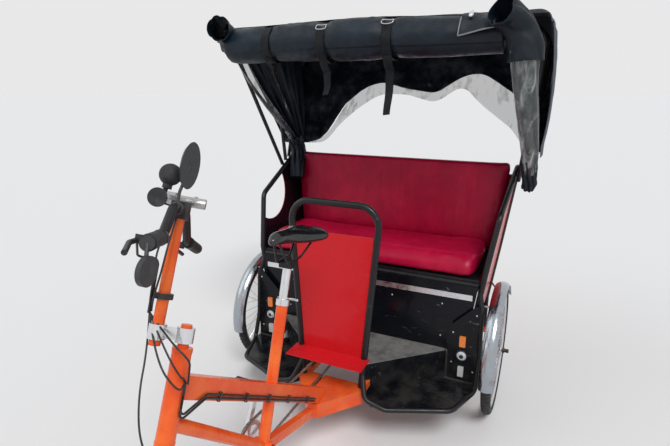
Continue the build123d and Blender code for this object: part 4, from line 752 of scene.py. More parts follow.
def plate_ring(half_pitch, end_radius, waist):
    """Outline of a link plate: two round ends joined by a waist, eight corners."""
    right = circle(end_radius, np.radians([-70, 0, 70])) + (half_pitch, 0)
    return np.concatenate([right, [[0, waist]], -right, [[0, -waist]]])


def across_chain(x, outlines):
    """Outlines in the chain's plane, given one place across it for all or one for each."""
    x = np.broadcast_to(np.reshape(x, (-1, 1, 1)), outlines.shape[:2] + (1,))
    return np.concatenate([x, outlines], -1).reshape(-1, 3)


def walls(near, far):
    """Faces between two layers of the same outlines, from their corners' indices."""
    return np.stack([near, np.roll(near, -1, 1), np.roll(far, -1, 1), far], -1).reshape(-1, 4)


def chain_mesh(name):
    """Two plates to a link, each an outline with a depth, and a six-sided roller at each joint."""
    line = belt_line(np.array(joints["crank_spin"]["pos_m"])[1:], pitch_radius(CHAINRING_TEETH),
                     np.array(rear_axle)[1:], pitch_radius(SPROCKET_TEETH))
    along = unit(line[1:] - line[:-1])
    over = np.stack([-along[:, 1], along[:, 0]], -1)
    ring = plate_ring(CHAIN_PITCH / 2, 0.0042, 0.0028)
    middle = (line[1:] + line[:-1])[:, None] / 2
    plates = middle + ring[None, :, :1] * along[:, None] + ring[None, :, 1:] * over[:, None]
    rollers = line[:-1, None] + circle(ROLLER_RADIUS, full_turn(6))
    links = len(plates)
    inner_face = np.take(PLATE_X, np.arange(links) % 2)
    points = [across_chain(CHAIN_X + side * (inner_face + depth), plates)
              for side in (-1, 1) for depth in (0, PLATE_DEPTH)]
    points += [across_chain(CHAIN_X + x, rollers) for x in (-ROLLER_X, ROLLER_X)]
    layers = np.arange(4 * links * len(ring)).reshape(2, 2, links, len(ring))
    quads = [walls(*pair) for pair in layers]
    quads += [layer[:, face] for layer in layers.reshape(4, links, -1) for face in PLATE_FACES]
    quads.append(walls(*(layers.size + np.arange(12 * links).reshape(2, links, 6))))
    return mesh_object(name, np.concatenate(points), np.concatenate(quads), smooth=False), links


chain_links, link_count = chain_mesh("chain_links")
finish_piece(mended(chain_links, weld=True), "frame", "steel", chain_steel, "chain")
print(link_count, "chain links")

# %% [markdown]
# ## Coated cloth, clear vinyl and webbing
# The hood is black coated canvas, bleached a little in patches, with its sides painted paler as sunlit
# cloth. Its windows are clear vinyl, which is cloudy at every crease, and its creases are painted pale as a
# glare too. The bench is crimson imitation leather.
# Canvas is a fine crossed weave as a bump. Vinyl is partly see-through, with a sharp gloss.

# %% Cloth materials
def canvas(name, colour, bleach_and_sheen_colour, smooth=0.34, rough=0.62, depth=0.007, folds=(16, 30, 22), sides=None):
    """Coated canvas: a crossed weave over creases, pale patches of slow bleaching (on the lining, dust and
    a painted sheen), and painted sunlight on the sides beyond a width.
    """
    recipe = Recipe(name, colour, specular=0.28)
    # pale patches: bleaching, and on the lining dust and a painted sheen
    bleach_and_sheen_mask = recipe.patches(9, 5, 0.4, 0.75, roughness=0.6)
    if sides is None:
        recipe.paint(bleach_and_sheen_mask, colour, bleach_and_sheen_colour)
    else:
        # painted sunlight: the sides beyond a width are paler, as lit cloth
        sunlit_side_mask = recipe.between(recipe.width(), 0.700, 0.728)
        recipe.paint(sunlit_side_mask, recipe.mix(bleach_and_sheen_mask, colour, bleach_and_sheen_colour), sides)
    recipe.gloss(recipe.patches(24, 5, 0.3, 0.75, smooth, rough))
    creases = recipe.bump(recipe.noise(folds, 3, distortion=0.6, roughness=0.42), depth, 0.6)
    weave = recipe.math("ADD", recipe.waves(420, "X"), recipe.waves(420, "Z"))
    recipe.relief(weave, 0.0002, 0.35, creases)
    return recipe.material


def clear_vinyl(name, cloud, glare, solid, creased):
    """See-through vinyl: a share of it is solid, and more of it where creases cloud it; the creases are
    painted pale, as cloudiness and as a painted glare.
    """
    recipe = Recipe(name, cloud)
    crease = recipe.patches((20, 14, 5), 4, 0.48, 0.70, distortion=0.8, roughness=0.5)
    recipe.feed(recipe.shader["Alpha"], recipe.math("ADD", recipe.math("MULTIPLY", crease, creased), solid))
    # the creases are painted in the glare colour: cloudiness and a painted highlight
    recipe.paint(crease, cloud, glare)
    recipe.gloss(recipe.between(crease, 0, 1, 0.10, 0.26))
    recipe.relief(recipe.noise((26, 20, 5), 3, distortion=0.8), 0.007, 0.7)
    return recipe.material


def crimson_cover(name, colour, worn, painted_shade_colour):
    """Imitation leather: a pebble grain over soft folds, faint wear, and painted shade at the ends."""
    recipe = Recipe(name, colour, specular=0.24)
    # painted shade: the bench darkens towards its ends
    ends = recipe.between(recipe.width(), 0.40, 0.60, 0, 0.55)
    recipe.paint(ends, recipe.mix(recipe.patches(8, 5, 0.38, 0.75, roughness=0.6), colour, worn), painted_shade_colour)
    recipe.gloss(recipe.patches(30, 4, 0.3, 0.7, 0.28, 0.42))
    folds = recipe.bump(recipe.noise((11, 3, 1.2), 4, distortion=0.5), 0.010, 0.55)
    recipe.relief(recipe.cells(520), 0.0003, 0.3, folds)
    return recipe.material


def saddle_leather(name, colour, rubbed):
    """Smooth black cover, polished by use, with a few grey rubs and a fine grain."""
    recipe = Recipe(name, colour, coat=(0.3, 0.1))
    recipe.paint(recipe.patches(70, 5, 0.60, 0.75, 0, 0.6, roughness=0.7), colour, rubbed)
    recipe.gloss(recipe.patches(24, 4, 0.3, 0.7, 0.14, 0.34))
    recipe.relief(recipe.noise(160, 3), 0.0005, 0.4)
    return recipe.material


BLUE_BLACK = (0.008, 0.011, 0.016)
# The hood's sides are painted paler, as sunlight on them.
hood_canvas = canvas("hood_canvas", BLUE_BLACK, (0.018, 0.023, 0.031), 0.72, 0.92, 0.010, (5, 8, 6),
                     sides=(0.075, 0.090, 0.112))
curtain_canvas = canvas("curtain_canvas", (0.003, 0.008, 0.014), (0.008, 0.017, 0.030), folds=(9, 20, 16))
window_vinyl = clear_vinyl("window_vinyl", (0.11, 0.12, 0.14), (0.50, 0.52, 0.54), 0.42, 0.34)
rolled_vinyl = clear_vinyl("rolled_vinyl", (0.09, 0.10, 0.10), (0.42, 0.45, 0.45), 0.66, 0.30)
bench_cover = crimson_cover("bench_cover", (0.42, 0.002, 0.036), (0.54, 0.006, 0.050), (0.18, 0.002, 0.024))
# The lining's pale patches are dust and a painted sheen.
lining_canvas = canvas("lining_canvas", BLUE_BLACK, (0.060, 0.067, 0.080), 0.20, 0.38, 0.032, (8, 6, 3.0))
webbing = canvas("webbing", (0.004, 0.005, 0.007), (0.009, 0.010, 0.013), 0.62, 0.85)
worn_leather = saddle_leather("worn_leather", (0.008, 0.008, 0.009), (0.06, 0.058, 0.055))
print("cloth materials ready")

# %% [markdown]
# ## Cushions
# Each cushion is foam in a sewn cover. It starts as a section carried along the bench, a
# little small, and Cloth then blows it up with pressure so that the cover pulls tight over
# the foam. Its points may move only a little, and it is pressed flat again where it rests.

# %% Cushion shapes
COVER_VOXEL = 0.0085
FOAM_PRESSURE = 4.0
CLOTH_FRAMES = 20


def rounded_outline(corners, radius):
    """A closed outline whose corners are replaced by small quadratic bends."""
    corners = np.asarray(corners, float)
    ends = []
    for neighbour in (np.roll(corners, 1, 0), np.roll(corners, -1, 0)):
        way = neighbour - corners
        length = np.linalg.norm(way, axis=1, keepdims=True)
        ends.append(corners + way / length * np.minimum(radius, 0.45 * length))
    t = np.linspace(0, 1, 5)[None, :, None]
    bends = (1 - t) ** 2 * ends[0][:, None] + 2 * t * (1 - t) * corners[:, None] + t ** 2 * ends[1][:, None]
    return bends.reshape(-1, 2)


def bolster(name, corners, half, radius, nose, lean=0.0, base=0.0):
    """A side-view outline carried along X; the ends shrink to a rounded nose and may lean out."""
    closed = rounded_outline(corners, radius)
    outline = evenly(np.vstack([closed, closed[:1]]), 97)[:-1]
    centre = outline.mean(0)
    t = np.linspace(-1, 1, 120)
    t = np.sign(t) * (1 - (1 - np.abs(t)) ** 1.5)
    shrink = np.clip(1 - np.abs(t) ** nose, 0, 1) ** 0.5
    section = centre + (outline[None] - centre) * (0.04 + 0.96 * shrink[:, None, None])
    x = t[:, None] * (half + (section[..., 1] - base) * lean)
    points = from_cross(np.concatenate([x[..., None], section], -1))
    return mended(surface(name, points, close_columns=True, flip=True), cap=True)


def blow_up(piece, cap):
    """Remeshes a piece evenly, swells it as cloth for some frames, and caps each point's move."""
    remesh = piece.modifiers.new("even", "REMESH")
    remesh.mode = "VOXEL"
    remesh.voxel_size = COVER_VOXEL
    piece.data = evaluated_mesh(piece)
    piece.modifiers.clear()
    start = mesh_points(piece.data)
    cloth = piece.modifiers.new("cloth", "CLOTH")
    cloth.settings.use_pressure = True
    cloth.settings.uniform_pressure_force = FOAM_PRESSURE
    cloth.settings.effector_weights.gravity = 0
    for frame_number in range(1, CLOTH_FRAMES + 1):
        bpy.context.scene.frame_set(frame_number)
    swollen = evaluated_mesh(piece)
    piece.modifiers.clear()
    piece.data = swollen
    bpy.context.scene.frame_set(1)
    move = mesh_points(piece.data) - start
    length = np.linalg.norm(move, axis=1, keepdims=True)
    print(piece.name, len(start), "points, moved up to", round(float(length.max()), 4))
    return start + move * np.minimum(1, cap / np.maximum(length, 1e-9))


def finish_cushion(piece, points, node):
    piece.data.vertices.foreach_set("co", points.astype(np.float32).ravel())
    piece.data.polygons.foreach_set("use_smooth", np.ones(len(piece.data.polygons), bool))
    piece.data.update()
    finish_piece(piece, "frame", "crimson_cover", bench_cover, node)


print("cushion helpers ready")

# %% [markdown]
# ## Seat and backrest
# The seat's cover rises a little towards its ends, where it is pulled up, and is flat where it
# rests. The backrest leans back with the board behind it, and its front is a little uneven.

# %% Cushions
SEAT_CORNERS = ((-0.030, 0.697), (0.374, 0.697), (0.374, 0.766), (0.180, 0.774), (0.020, 0.778),
                (-0.030, 0.740))
SEAT_LIMITS = ((-0.553, -0.043, 0.6908), (0.553, 0.3790, 1.0))
BACK_CORNERS = ((0.386, 0.702), (0.444, 0.702), (0.4800, 1.157), (0.4345, 1.157), (0.388, 0.770))
BACK_FOOT, BACK_TOP = 0.6950, 1.170
BACK_FRONT = CROSS_Y + 0.3798
BOARD_FOOT = (CROSS_Y + 0.4503, 0.6946)
BOARD_LEAN = 0.0782

seat = bolster("seat_cushion_cover", SEAT_CORNERS, 0.543, 0.030, 40)
seat_points = blow_up(seat, 0.010)
towards_end = ramp(np.abs(seat_points[:, 0]), 0.30, 0.25) ** 2
seat_points[:, 2] += 0.010 * towards_end * ramp(seat_points[:, 2], 0.70, 0.06)
finish_cushion(seat, np.clip(seat_points, *from_cross(SEAT_LIMITS)), "seat_cushion")

back = bolster("backrest_cover", BACK_CORNERS, SIDE_BASE - 0.019, 0.014, 110, SIDE_LEAN, SIDE_BASE_HEIGHT)
back_points = blow_up(back, 0.009)
at_front = ramp(back_points[:, 1], CROSS_Y + 0.435, -0.03)
back_points[:, 1] -= 0.0022 * at_front * ripple(back_points[:, 0], 0.12 * back_points[:, 2], 5, 6, 14)
board_y = BOARD_FOOT[0] + (back_points[:, 2] - BOARD_FOOT[1]) * BOARD_LEAN
back_points[:, 1] = np.clip(back_points[:, 1], BACK_FRONT, board_y)
back_points[:, 2] = np.clip(back_points[:, 2], BACK_FOOT, BACK_TOP)
finish_cushion(back, back_points, "backrest")

# %% [markdown]
# ## Saddle
# A sprung saddle is a moulded shell under a padded cover, narrow and raised at its nose. Its
# width, depth and height run through a few stations, and a flattened round section is swept
# along them.

# %% Saddle
SADDLE_STATIONS = (  # back from the clamp, half width, depth, height over the clamp
    (-0.104, 0.004, 0.010, 0.114), (-0.094, 0.014, 0.026, 0.116), (-0.066, 0.023, 0.042, 0.120),
    (0.000, 0.031, 0.050, 0.109), (0.078, 0.062, 0.056, 0.093), (0.142, 0.084, 0.056, 0.085),
    (0.172, 0.070, 0.042, 0.084), (0.186, 0.030, 0.018, 0.083))


def saddle_shell(name):
    """Ellipses whose lower half is flatter, along the stations; the rear middle is dipped."""
    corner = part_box("saddle")[0]
    rows = smooth_path(SADDLE_STATIONS, 90)
    angle = full_turn(48)[None]
    back_of, half, depth, height = [rows[:, i:i + 1] for i in range(4)]
    x = np.maximum(half, 0.001) * np.cos(angle)
    rise = np.where(np.sin(angle) > 0, np.sin(angle), -np.abs(np.sin(angle)) ** 0.7)
    dip = 0.006 * bell(x, 0, 0.012) * ramp(back_of, 0.02, 0.06) * (rise > 0)
    z = corner.z - 0.0565 + height + np.maximum(depth, 0.002) / 2 * rise - dip
    y = corner.y + 0.0945 + back_of + 0 * x
    return mended(surface(name, np.stack([x, y, z], -1), close_columns=True), cap=True)


saddle_cover = saddle_shell("saddle_cover")
finish_piece(saddle_cover, "frame", "saddle_cover", worn_leather, "saddle")
print("saddle", [round(value, 3) for value in saddle_cover.dimensions])

# %% [markdown]
# ## Sheets
# Every sheet of cloth or vinyl is made and finished in the same way.

# %% Sheets
def hang_sheet(name, grid, material, held, rests_on, depth=None, replaced=(), **shape):
    """A sheet from its grid, with its thickness and finish; without a depth it is vinyl."""
    piece = surface(name, grid, **shape)
    if depth is not None:
        thicken(piece, depth)
    finish_piece(piece, "frame", "clear_vinyl" if depth is None else "hood_cloth", material, *replaced)
    if shape.get("close_rows"):
        grid = np.concatenate([grid, grid[:1]])


print("sheets can be hung")

# %% [markdown]
# ## Hood
# The hood is one sheet of canvas, stretched over three bows and folded down at both sides
# towards the armrests. One grid makes it: a row for each place along the vehicle, and along
# a row the cloth goes across the roof, round the corner and down to its hem. It hangs a few
# millimetres between the bows. Solidify gives the thickness, as a single surface looks like paper.

# %% Hood
ROOF_PROFILE = np.array([(-0.088, 1.789), (0.020, 1.797), (0.380, 1.820), (0.700, 1.758), (0.788, 1.734)])
ROOF_FRONT, ROOF_REAR = -0.088, 0.786
BOW_TOPS = (0.020, 0.380, 0.700)
HANG = 0.007
CORNER = 0.050
HOOD_SIDE = 0.733
REAR_EDGE_Y, REAR_EDGE_Z, REAR_EDGE_SLOPE = 0.564, 1.185, 0.408


def roof_height(y):
    """Height of the canvas: the profile's points joined, with a sine's hang between the bows."""
    height = np.interp(y, ROOF_PROFILE[:, 0], ROOF_PROFILE[:, 1])
    for front, rear in zip(BOW_TOPS[:-1], BOW_TOPS[1:]):
        height = height - HANG * np.sin(np.pi * ramp(y, front, rear - front))
    return height


def side_hem(y, front_y):
    """Height of the side's lower edge: forward slope, short level hem, then the rear edge."""
    return np.interp(y, [front_y, front_y + 0.36, 0.525, 0.564, 0.787], [1.720, 1.200, 1.190, 1.185, 1.732])


def hood_half(y, top, hem, bulge):
    """One half, from the roof's middle to a hem; the side bulges as a sine, less near the rear edge."""
    flat = np.linspace(0, HOOD_SIDE - CORNER, 36)
    turn = np.radians(np.linspace(0, 90, 9))[1:]
    x = np.concatenate([flat, HOOD_SIDE - CORNER + CORNER * np.sin(turn)])[None]
    drop = np.concatenate([0 * flat, CORNER * (1 - np.cos(turn))])[None]
    z = np.maximum(top - drop, np.minimum(hem, top))
    down = np.linspace(0, 1, 30)[None, 1:]
    side_z = z[:, -1:] + (np.minimum(hem, z[:, -1:]) - z[:, -1:]) * down
    waves = 0.004 * ripple(6 * (y + 0.5 * side_z), 0.7 * side_z, 3, 5, 3.0) * np.clip(down * 3, 0, 1)
    rear_edge = REAR_EDGE_Y + (side_z - REAR_EDGE_Z) * REAR_EDGE_SLOPE
    ahead_of_rear = ramp(y, rear_edge, -0.12) ** 0.6
    swell = waves + bulge * np.sin(np.pi * ramp(side_z, top, -0.55)) ** 0.8
    x = np.concatenate([np.broadcast_to(x, z.shape), HOOD_SIDE + swell * ahead_of_rear], 1)
    return np.stack([x, np.broadcast_to(y, x.shape), np.concatenate([z, side_z], 1)], -1)


def front_edge(x):
    """Height of the roof's front edge, which lies on the crest of the rolled curtain."""
    return 1.7790 + 0.0150 * bell(x, -0.05, 0.33) - 0.010 * ramp(x, 0, 0.55) ** 2


def hood_points():
    """Both halves joined; the right side's front edge is drawn further back than the left's."""
    y = np.linspace(ROOF_FRONT, ROOF_REAR, 84)[:, None]
    top = roof_height(y)
    left = hood_half(y, top, side_hem(y, -0.04), 0.021)
    right = hood_half(y, top, side_hem(y, 0.14), 0.012)[:, :0:-1] * np.array([-1, 1, 1])
    whole = np.concatenate([right, left], 1)
    on_roof = ramp(whole[..., 2], top - 0.02, 0.02)
    whole[..., 2] -= 0.0022 * on_roof * (1 + ripple(whole[..., 0], whole[..., 1], 11, 7, 9.0))
    over_roll_share = ramp(whole[..., 1], 0.012, -0.100) ** 1.5
    whole[..., 2] += over_roll_share * on_roof * (front_edge(whole[..., 0]) - ROOF_PROFILE[0, 1])
    return from_cross(whole)


hang_sheet("hood_sheet", hood_points(), hood_canvas, "stretched", ["hood_bows"], 0.0016, ["hood_cover"],
           uv_scale=(1.4, 2.4), flip=True)

# %% [markdown]
# ## Rear wall of the hood
# Behind the bench the canvas is pulled up and tied, so it hangs in three swags, and clear
# window vinyl hangs out below their hem. Both are sheets on the plane between the roof's
# rear edge and the bench: a swag is a lower edge that rises and falls across the vehicle.

# %% Rear swags
SWAGS = np.array([  # across the vehicle, the vinyl's lower edge, the canvas's height over it
    (-0.73, 1.190, 0.0), (-0.60, 1.190, 0.0), (-0.473, 1.200, 0.03), (-0.404, 1.310, 0.09),
    (-0.298, 1.399, 0.10), (-0.179, 1.479, 0.07), (-0.021, 1.479, 0.03), (0.154, 1.432, 0.05),
    (0.294, 1.528, 0.05), (0.397, 1.429, 0.16), (0.593, 1.292, 0.17), (0.650, 1.190, 0.04),
    (0.73, 1.190, 0.0)])
WALL_HALF = 0.7325
WALL_TOP = 1.7325
HIGHEST_SWAG = 1.70
wall_x = np.linspace(-WALL_HALF, WALL_HALF, 150)[None]


def smoothed(values):
    """Values of the swags read across the wall, smoothed by a short moving average."""
    fine = np.linspace(-0.73, 0.73, 293)
    read = np.pad(np.interp(fine, SWAGS[:, 0], values), 9, mode="edge")
    return np.interp(wall_x, fine, np.convolve(read, np.ones(19) / 19, mode="valid"))


def rear_wall(top, low, fold, seed, rows):
    """A sheet on the rear plane between two heights; folds deepen downwards and lean in."""
    v = np.linspace(0, 1, rows)[:, None]
    z = top + (low - top) * v
    pleat = (0.7 * ripple(wall_x, 0.25 * z, seed, 6, 16)
             + 0.5 * ripple(0.6 * wall_x, 1.5 * z + 0.4 * wall_x, seed + 1, 6, 22))
    inwards = fold * v ** 0.6 * (1 + pleat) * ramp(np.abs(wall_x), WALL_HALF, -0.05)
    y = 0.561 + (z - 1.177) * 0.4 - inwards
    return from_cross(np.stack([np.broadcast_to(wall_x, z.shape), y, z], -1))


vinyl_hem = smoothed(SWAGS[:, 1])
canvas_hem = np.minimum(smoothed(SWAGS[:, 1] + SWAGS[:, 2]), HIGHEST_SWAG)
hang_sheet("rear_swag", rear_wall(WALL_TOP, canvas_hem, 0.026, 21, 36), lining_canvas,
           "gathered", ["hood_sheet"], 0.0014, flip=True)
hang_sheet("rear_window", rear_wall(canvas_hem + 0.01, vinyl_hem, 0.013, 22, 16), window_vinyl,
           "gathered", ["rear_swag"], flip=True)

# %% [markdown]
# ## Front curtain, rolled up
# The rain curtain is rolled under the roof's front edge and strapped. A roll is a spiral:
# the radius shrinks with each turn, and is pinched where a strap goes round. The pinch throws
# wrinkles along the roll, so their height falls off with the distance from the strap.

# %% Front curtain roll
ROLL_Y, ROLL_Z, ROLL_RADIUS = -0.092, 1.6998, 0.084
ROLL_RIGHT, ROLL_LEFT = -0.65, 0.582
ROLL_TURNS = 2.4
ROLL_START = 1.1
TURN_INSET = 0.0065
STRAPS = (  # place, width of the band, width and length of the tail
    (-0.421, 0.038, 0.030, 0.05), (-0.151, 0.040, 0.038, 0.16), (0.139, 0.040, 0.040, 0.24))


def roll_outer(x, angle):
    """Radius of the roll's outer turn: a bell-shaped pinch and wrinkles at each strap."""
    pinch = sum(bell(x, strap[0], 0.040) for strap in STRAPS)
    near = sum(np.exp(-np.abs(x - strap[0]) / 0.13) for strap in STRAPS)
    wrinkle = (ripple(5 * x, 1.4 * np.cos(angle + 0.6), 31, 6, 3.4)
               + 0.6 * ripple(9 * x, 2.2 * np.sin(angle), 32, 5, 4.0))
    base = ROLL_RADIUS * (1 - 0.13 * pinch) - 0.004 + 0.007 * bell(x, -0.05, 0.3)
    base = base - 0.010 * ramp(x, 0, 0.55) ** 2
    return base + 0.0035 * near * wrinkle + 0.0022 * ripple(8 * x, angle, 33, 4, 1.3)


def round_roll(x, angle, reach, sink):
    """Points round the roll's middle line, which hangs a little lower by a sink."""
    y = ROLL_Y + reach * np.cos(angle + ROLL_START)
    z = ROLL_Z + reach * np.sin(angle + ROLL_START) + sink
    return from_cross(np.stack([x + 0 * reach, y, z], -1))


def roll_points():
    """The spiral: each turn lies a step inside the last, and the right end is rounded off."""
    x = np.linspace(ROLL_RIGHT, ROLL_LEFT, 150)[:, None]
    angle = np.linspace(0, 2 * np.pi * ROLL_TURNS, 132)[None]
    reach = roll_outer(x, angle) - TURN_INSET * angle[:, ::-1] / (2 * np.pi)
    end = ramp(x, ROLL_RIGHT, 0.05)
    reach = reach * (0.86 + 0.14 * np.sqrt(end * (2 - end)))
    return round_roll(x, angle, reach, 0.008 * bell(x, -0.05, 0.35) - 0.003)


hang_sheet("front_roll", roll_points(), curtain_canvas, "gathered", ["hood_sheet"], 0.0013,
           ["front_curtain_roll"])

# %% [markdown]
# ## Straps
# Webbing straps hold the roll. Each is a band round it, with a free tail that hangs down:
# both are flat strips with a thickness.

# %% Straps
WEBBING_DEPTH = 0.0016
strip = np.linspace(-0.5, 0.5, 5)[None]


def strap_tail(number, centre, width, length):
    """A strip from under the roll: it clings to the curve at first, narrows and sways a little."""
    v = np.linspace(0, 1, 40)[:, None]
    drop = length * v
    cling = 0.05 * ramp(drop, 0, 0.06) ** 2 + 0.006 * np.sin(9 * v + number)
    y = ROLL_Y - ROLL_RADIUS * 0.62 - 0.004 + cling
    x = centre + width * strip * (1 - 0.25 * v) + 0.010 * np.sin(3.0 * v + number) * v
    z = ROLL_Z - 0.060 - drop + 0.004 * strip * v
    return from_cross(np.stack(np.broadcast_arrays(x, y, z), -1))


for number, (centre, width, tail_width, tail_length) in enumerate(STRAPS):
    turn = full_turn(64)[:, None]
    band_x = centre + width * strip
    band = round_roll(band_x, turn, roll_outer(band_x, turn) + 0.0035, -0.004)
    hang_sheet("strap_band_%d" % number, band, webbing, "stretched", ["front_roll"], WEBBING_DEPTH,
               ["roll_straps"] if number == 0 else [], close_rows=True)
for number, (centre, width, tail_width, tail_length) in enumerate(STRAPS):
    hang_sheet("strap_tail_%d" % number, strap_tail(number, centre, tail_width, tail_length), webbing,
               "hung", ["strap_band_%d" % number], WEBBING_DEPTH)

# %% [markdown]
# ## Left curtain
# The left side curtain is rolled and hangs beside the armrest: a wide canvas cuff at the
# roof whose mouth is open, then the rolled window vinyl, then a bundle of canvas at the foot.
# All three are tubes along one path. Folds are waves round the tube that twist on the way.
# A fourth tube is the open cuff at the other end of the roof.

# %% Left curtain
LEFT_CUFF = ((0.572, -0.215, 1.768), (0.596, -0.180, 1.752), (0.634, -0.150, 1.712),
             (0.660, -0.146, 1.655), (0.664, -0.146, 1.600))
LEFT_ROLL = ((0.660, -0.150, 1.640), (0.664, -0.146, 1.560), (0.684, -0.080, 1.420),
             (0.700, 0.020, 1.270), (0.704, 0.080, 1.170))
LEFT_FOOT = ((0.700, 0.055, 1.230), (0.704, 0.085, 1.170), (0.7075, 0.108, 1.118), (0.700, 0.120, 1.090))
RIGHT_CUFF = ((-0.640, -0.205, 1.768), (-0.652, -0.160, 1.764), (-0.672, -0.100, 1.745),
              (-0.690, -0.050, 1.700))


def bundle(name, path, count, first, last, folds, depth, seed, material=curtain_canvas, cuff=False,
           replaced=()):
    """Cloth gathered round a path, from one radius to another, with sharp ridges and wide valleys."""
    def radius(share, angle):
        fold = np.abs(np.sin(folds * angle / 2 + 3.0 * share + 0.8 * np.sin(2 * angle + seed)))
        uneven = 0.002 * ripple(9 * share, 2 * angle, seed, 5, 1.1)
        return first + (last - first) * share + depth * (fold - 0.5) + uneven

    piece = tube(name, from_cross(smooth_path(path, count)), radius, 56, capped=not cuff)
    if cuff:
        thicken(piece, 0.002)
    slot = "clear_vinyl" if material is rolled_vinyl else "hood_cloth"
    finish_piece(piece, "frame", slot, material, *replaced)


bundle("left_cuff", LEFT_CUFF, 50, 0.050, 0.058, 5, 0.008, 2, cuff=True, replaced=["side_curtain_left"])
bundle("left_window_roll", LEFT_ROLL, 90, 0.050, 0.024, 7, 0.009, 4, rolled_vinyl)
bundle("left_foot_bundle", LEFT_FOOT, 50, 0.030, 0.022, 9, 0.010, 6)
bundle("right_cuff", RIGHT_CUFF, 40, 0.052, 0.044, 5, 0.006, 3, cuff=True)
print("curtain cuffs hung")

# %% [markdown]
# ## Flap, zip and buckles
# At the roll's left end a flap of the curtain is folded over it, with a pale welt along its
# edge and a metal zip pull. The flap follows the roll's round: its angle runs down the front.
# A wire buckle sits on each of the two long straps.

# %% Flap and zip
def over_roll(x, angle, lift):
    """A point over the roll at an angle from the crest towards the front, lifted off it."""
    reach = roll_outer(x, angle) + lift
    y = ROLL_Y - reach * np.sin(angle)
    return from_cross(np.stack([x + 0 * angle, y, ROLL_Z + reach * np.cos(angle)], -1))


def buckle(name, centre, turn):
    """A wire ring round a strap: a superellipse in place and angle, laid over the roll."""
    share = np.linspace(0, 2 * np.pi, 49)
    wide, high = [np.sign(wave) * np.abs(wave) ** 0.4 for wave in (np.cos(share), np.sin(share))]
    return tube(name, over_roll(centre + 0.024 * wide, turn + 0.15 * high, 0.008), 0.0022, 8)


flap_u = np.linspace(0, 1, 34)[:, None]
flap_v = np.linspace(0, 1, 30)[None]
flap_x = 0.430 + 0.118 * flap_u + 0.012 * flap_v * (flap_u - 0.5)
flap_turn = 0.15 + (1.50 - 0.30 * flap_u) * flap_v
flap_lift = 0.006 + 0.012 * flap_v ** 3 + 0.003 * np.sin(6 * flap_u + 4 * flap_v)
flap_grid = over_roll(flap_x, flap_turn, flap_lift)
hang_sheet("roll_flap", flap_grid, curtain_canvas, "folded", ["front_roll"], 0.0018)

welt_path = np.concatenate([flap_grid[0, 12:], flap_grid[1:, -1]]) + (0, -0.002, 0)
grey_welt = moulding("grey_welt", (0.20, 0.21, 0.22), 0.4)
finish_piece(tube("flap_welt", welt_path, 0.0028, 8), "frame", "clear_vinyl", grey_welt)
pull_path = over_roll(np.full(12, 0.462), np.linspace(0.30, 0.86, 12), 0.016)
pull = tube("zip_pull", pull_path, lambda share, angle: 0.0055 + 0.003 * np.cos(np.pi * (share - 0.75)), 12)
finish_piece(pull, "frame", "alloy", cast_alloy)
for number, turn in ((1, 0.80), (2, 0.72)):
    finish_piece(buckle("strap_buckle_%d" % number, STRAPS[number][0], turn), "frame", "alloy", zinc_plate)

# %% [markdown]
# ## Right curtain
# On the right the curtain is drawn back and tied near the armrest, so it fans out from the
# tie to the roof. A fan is a blend from the edge at the roof to the short edge at the tie,
# and what is left of the canvas hangs below the tie as a bundle.
# Its folds are waves across the fan, the closer the deeper. Two strips of it are window vinyl.

# %% Right curtain
CURTAIN_DEPTH = 0.0014
FAN_STRIPS = (  # name, from and to as shares of the width, columns, material
    ("right_edge", 0.00, 0.035, 6, curtain_canvas),
    ("right_window_front", 0.035, 0.15, 20, window_vinyl),
    ("right_fold", 0.15, 0.46, 60, curtain_canvas),
    ("right_window_rear", 0.46, 0.51, 10, window_vinyl),
    ("right_rest", 0.51, 1.00, 90, curtain_canvas))
FAN_ROOF = (-0.130, 0.74, 1.745, -0.02)  # an edge's front, its length, height and fall
FAN_TIE = (0.425, 0.085, 1.215, -0.01)
RIGHT_TIE = ((-0.628, 0.440, 1.235), (-0.624, 0.462, 1.195), (-0.600, 0.440, 1.140),
             (-0.576, 0.380, 1.080), (-0.567, 0.350, 1.010))


def right_fan(first, last, columns):
    """Part of the fan between two shares of its width: rows down, columns across."""
    u = np.linspace(first, last, columns)[None]
    v = np.linspace(0, 1, 70)[:, None]
    pull = v ** 1.35
    roof, tie = [(front + length * u, height + fall * u)
                 for front, length, height, fall in (FAN_ROOF, FAN_TIE)]
    x = -0.690 + 0.062 * pull + 0.010 * u
    y = roof[0] * (1 - pull) + tie[0] * pull
    z = roof[1] * (1 - pull) + tie[1] * pull + 0.06 * np.sin(np.pi * v) * (u - 0.6)
    wave = np.sin(2 * np.pi * 8 * u + 1.5 * np.sin(3 * v)) + 0.5 * np.sin(2 * np.pi * 13 * u + 2 * v)
    x = x + (0.008 + 0.014 * v) * wave * np.clip(v * 6, 0.15, 1)
    return from_cross(np.stack([x, y, z], -1))


for name, first, last, columns, material in FAN_STRIPS:
    hang_sheet(name, right_fan(first, last, columns), material, "gathered", ["hood_sheet"],
               None if material is window_vinyl else CURTAIN_DEPTH,
               ["side_curtain_right"] if name == "right_fold" else [])
bundle("right_tie", RIGHT_TIE, 60, 0.040, 0.037, 9, 0.012, 8)

# %% [markdown]
# ## Screws and rivets
# Small domed heads hold the board and the lamp panels. One head is a half sphere flattened
# to a dome; a table gives the places, and numpy repeats the head at all of them.
# A marker lamp's black ring and the dark disc in its middle are turned profiles.

# %% Fasteners
HEAD_RISE = np.radians([0, 25, 50, 72, 89.9])[:, None]
HEAD_SIDES = 12
HEAD_RADIUS = 0.0045
PANEL_HEADS = ((0.462, 0.44), (0.560, 0.54), (0.462, 0.29), (0.560, 0.26))
BOARD_HEADS = ((0.40, 0.40), (0.40, 0.56), (0.16, 0.56))
LAMP_PROFILES = (  # radius and depth, as shares of the lamp's own
    ((1.00, 0.4), (1.30, 0.4), (1.30, -0.3), (1.18, -0.55), (1.02, -0.3), (1.00, 0.4)),
    ((0.46, 0.0), (0.46, -1.04), (0.36, -1.10), (0.02, -1.12)))


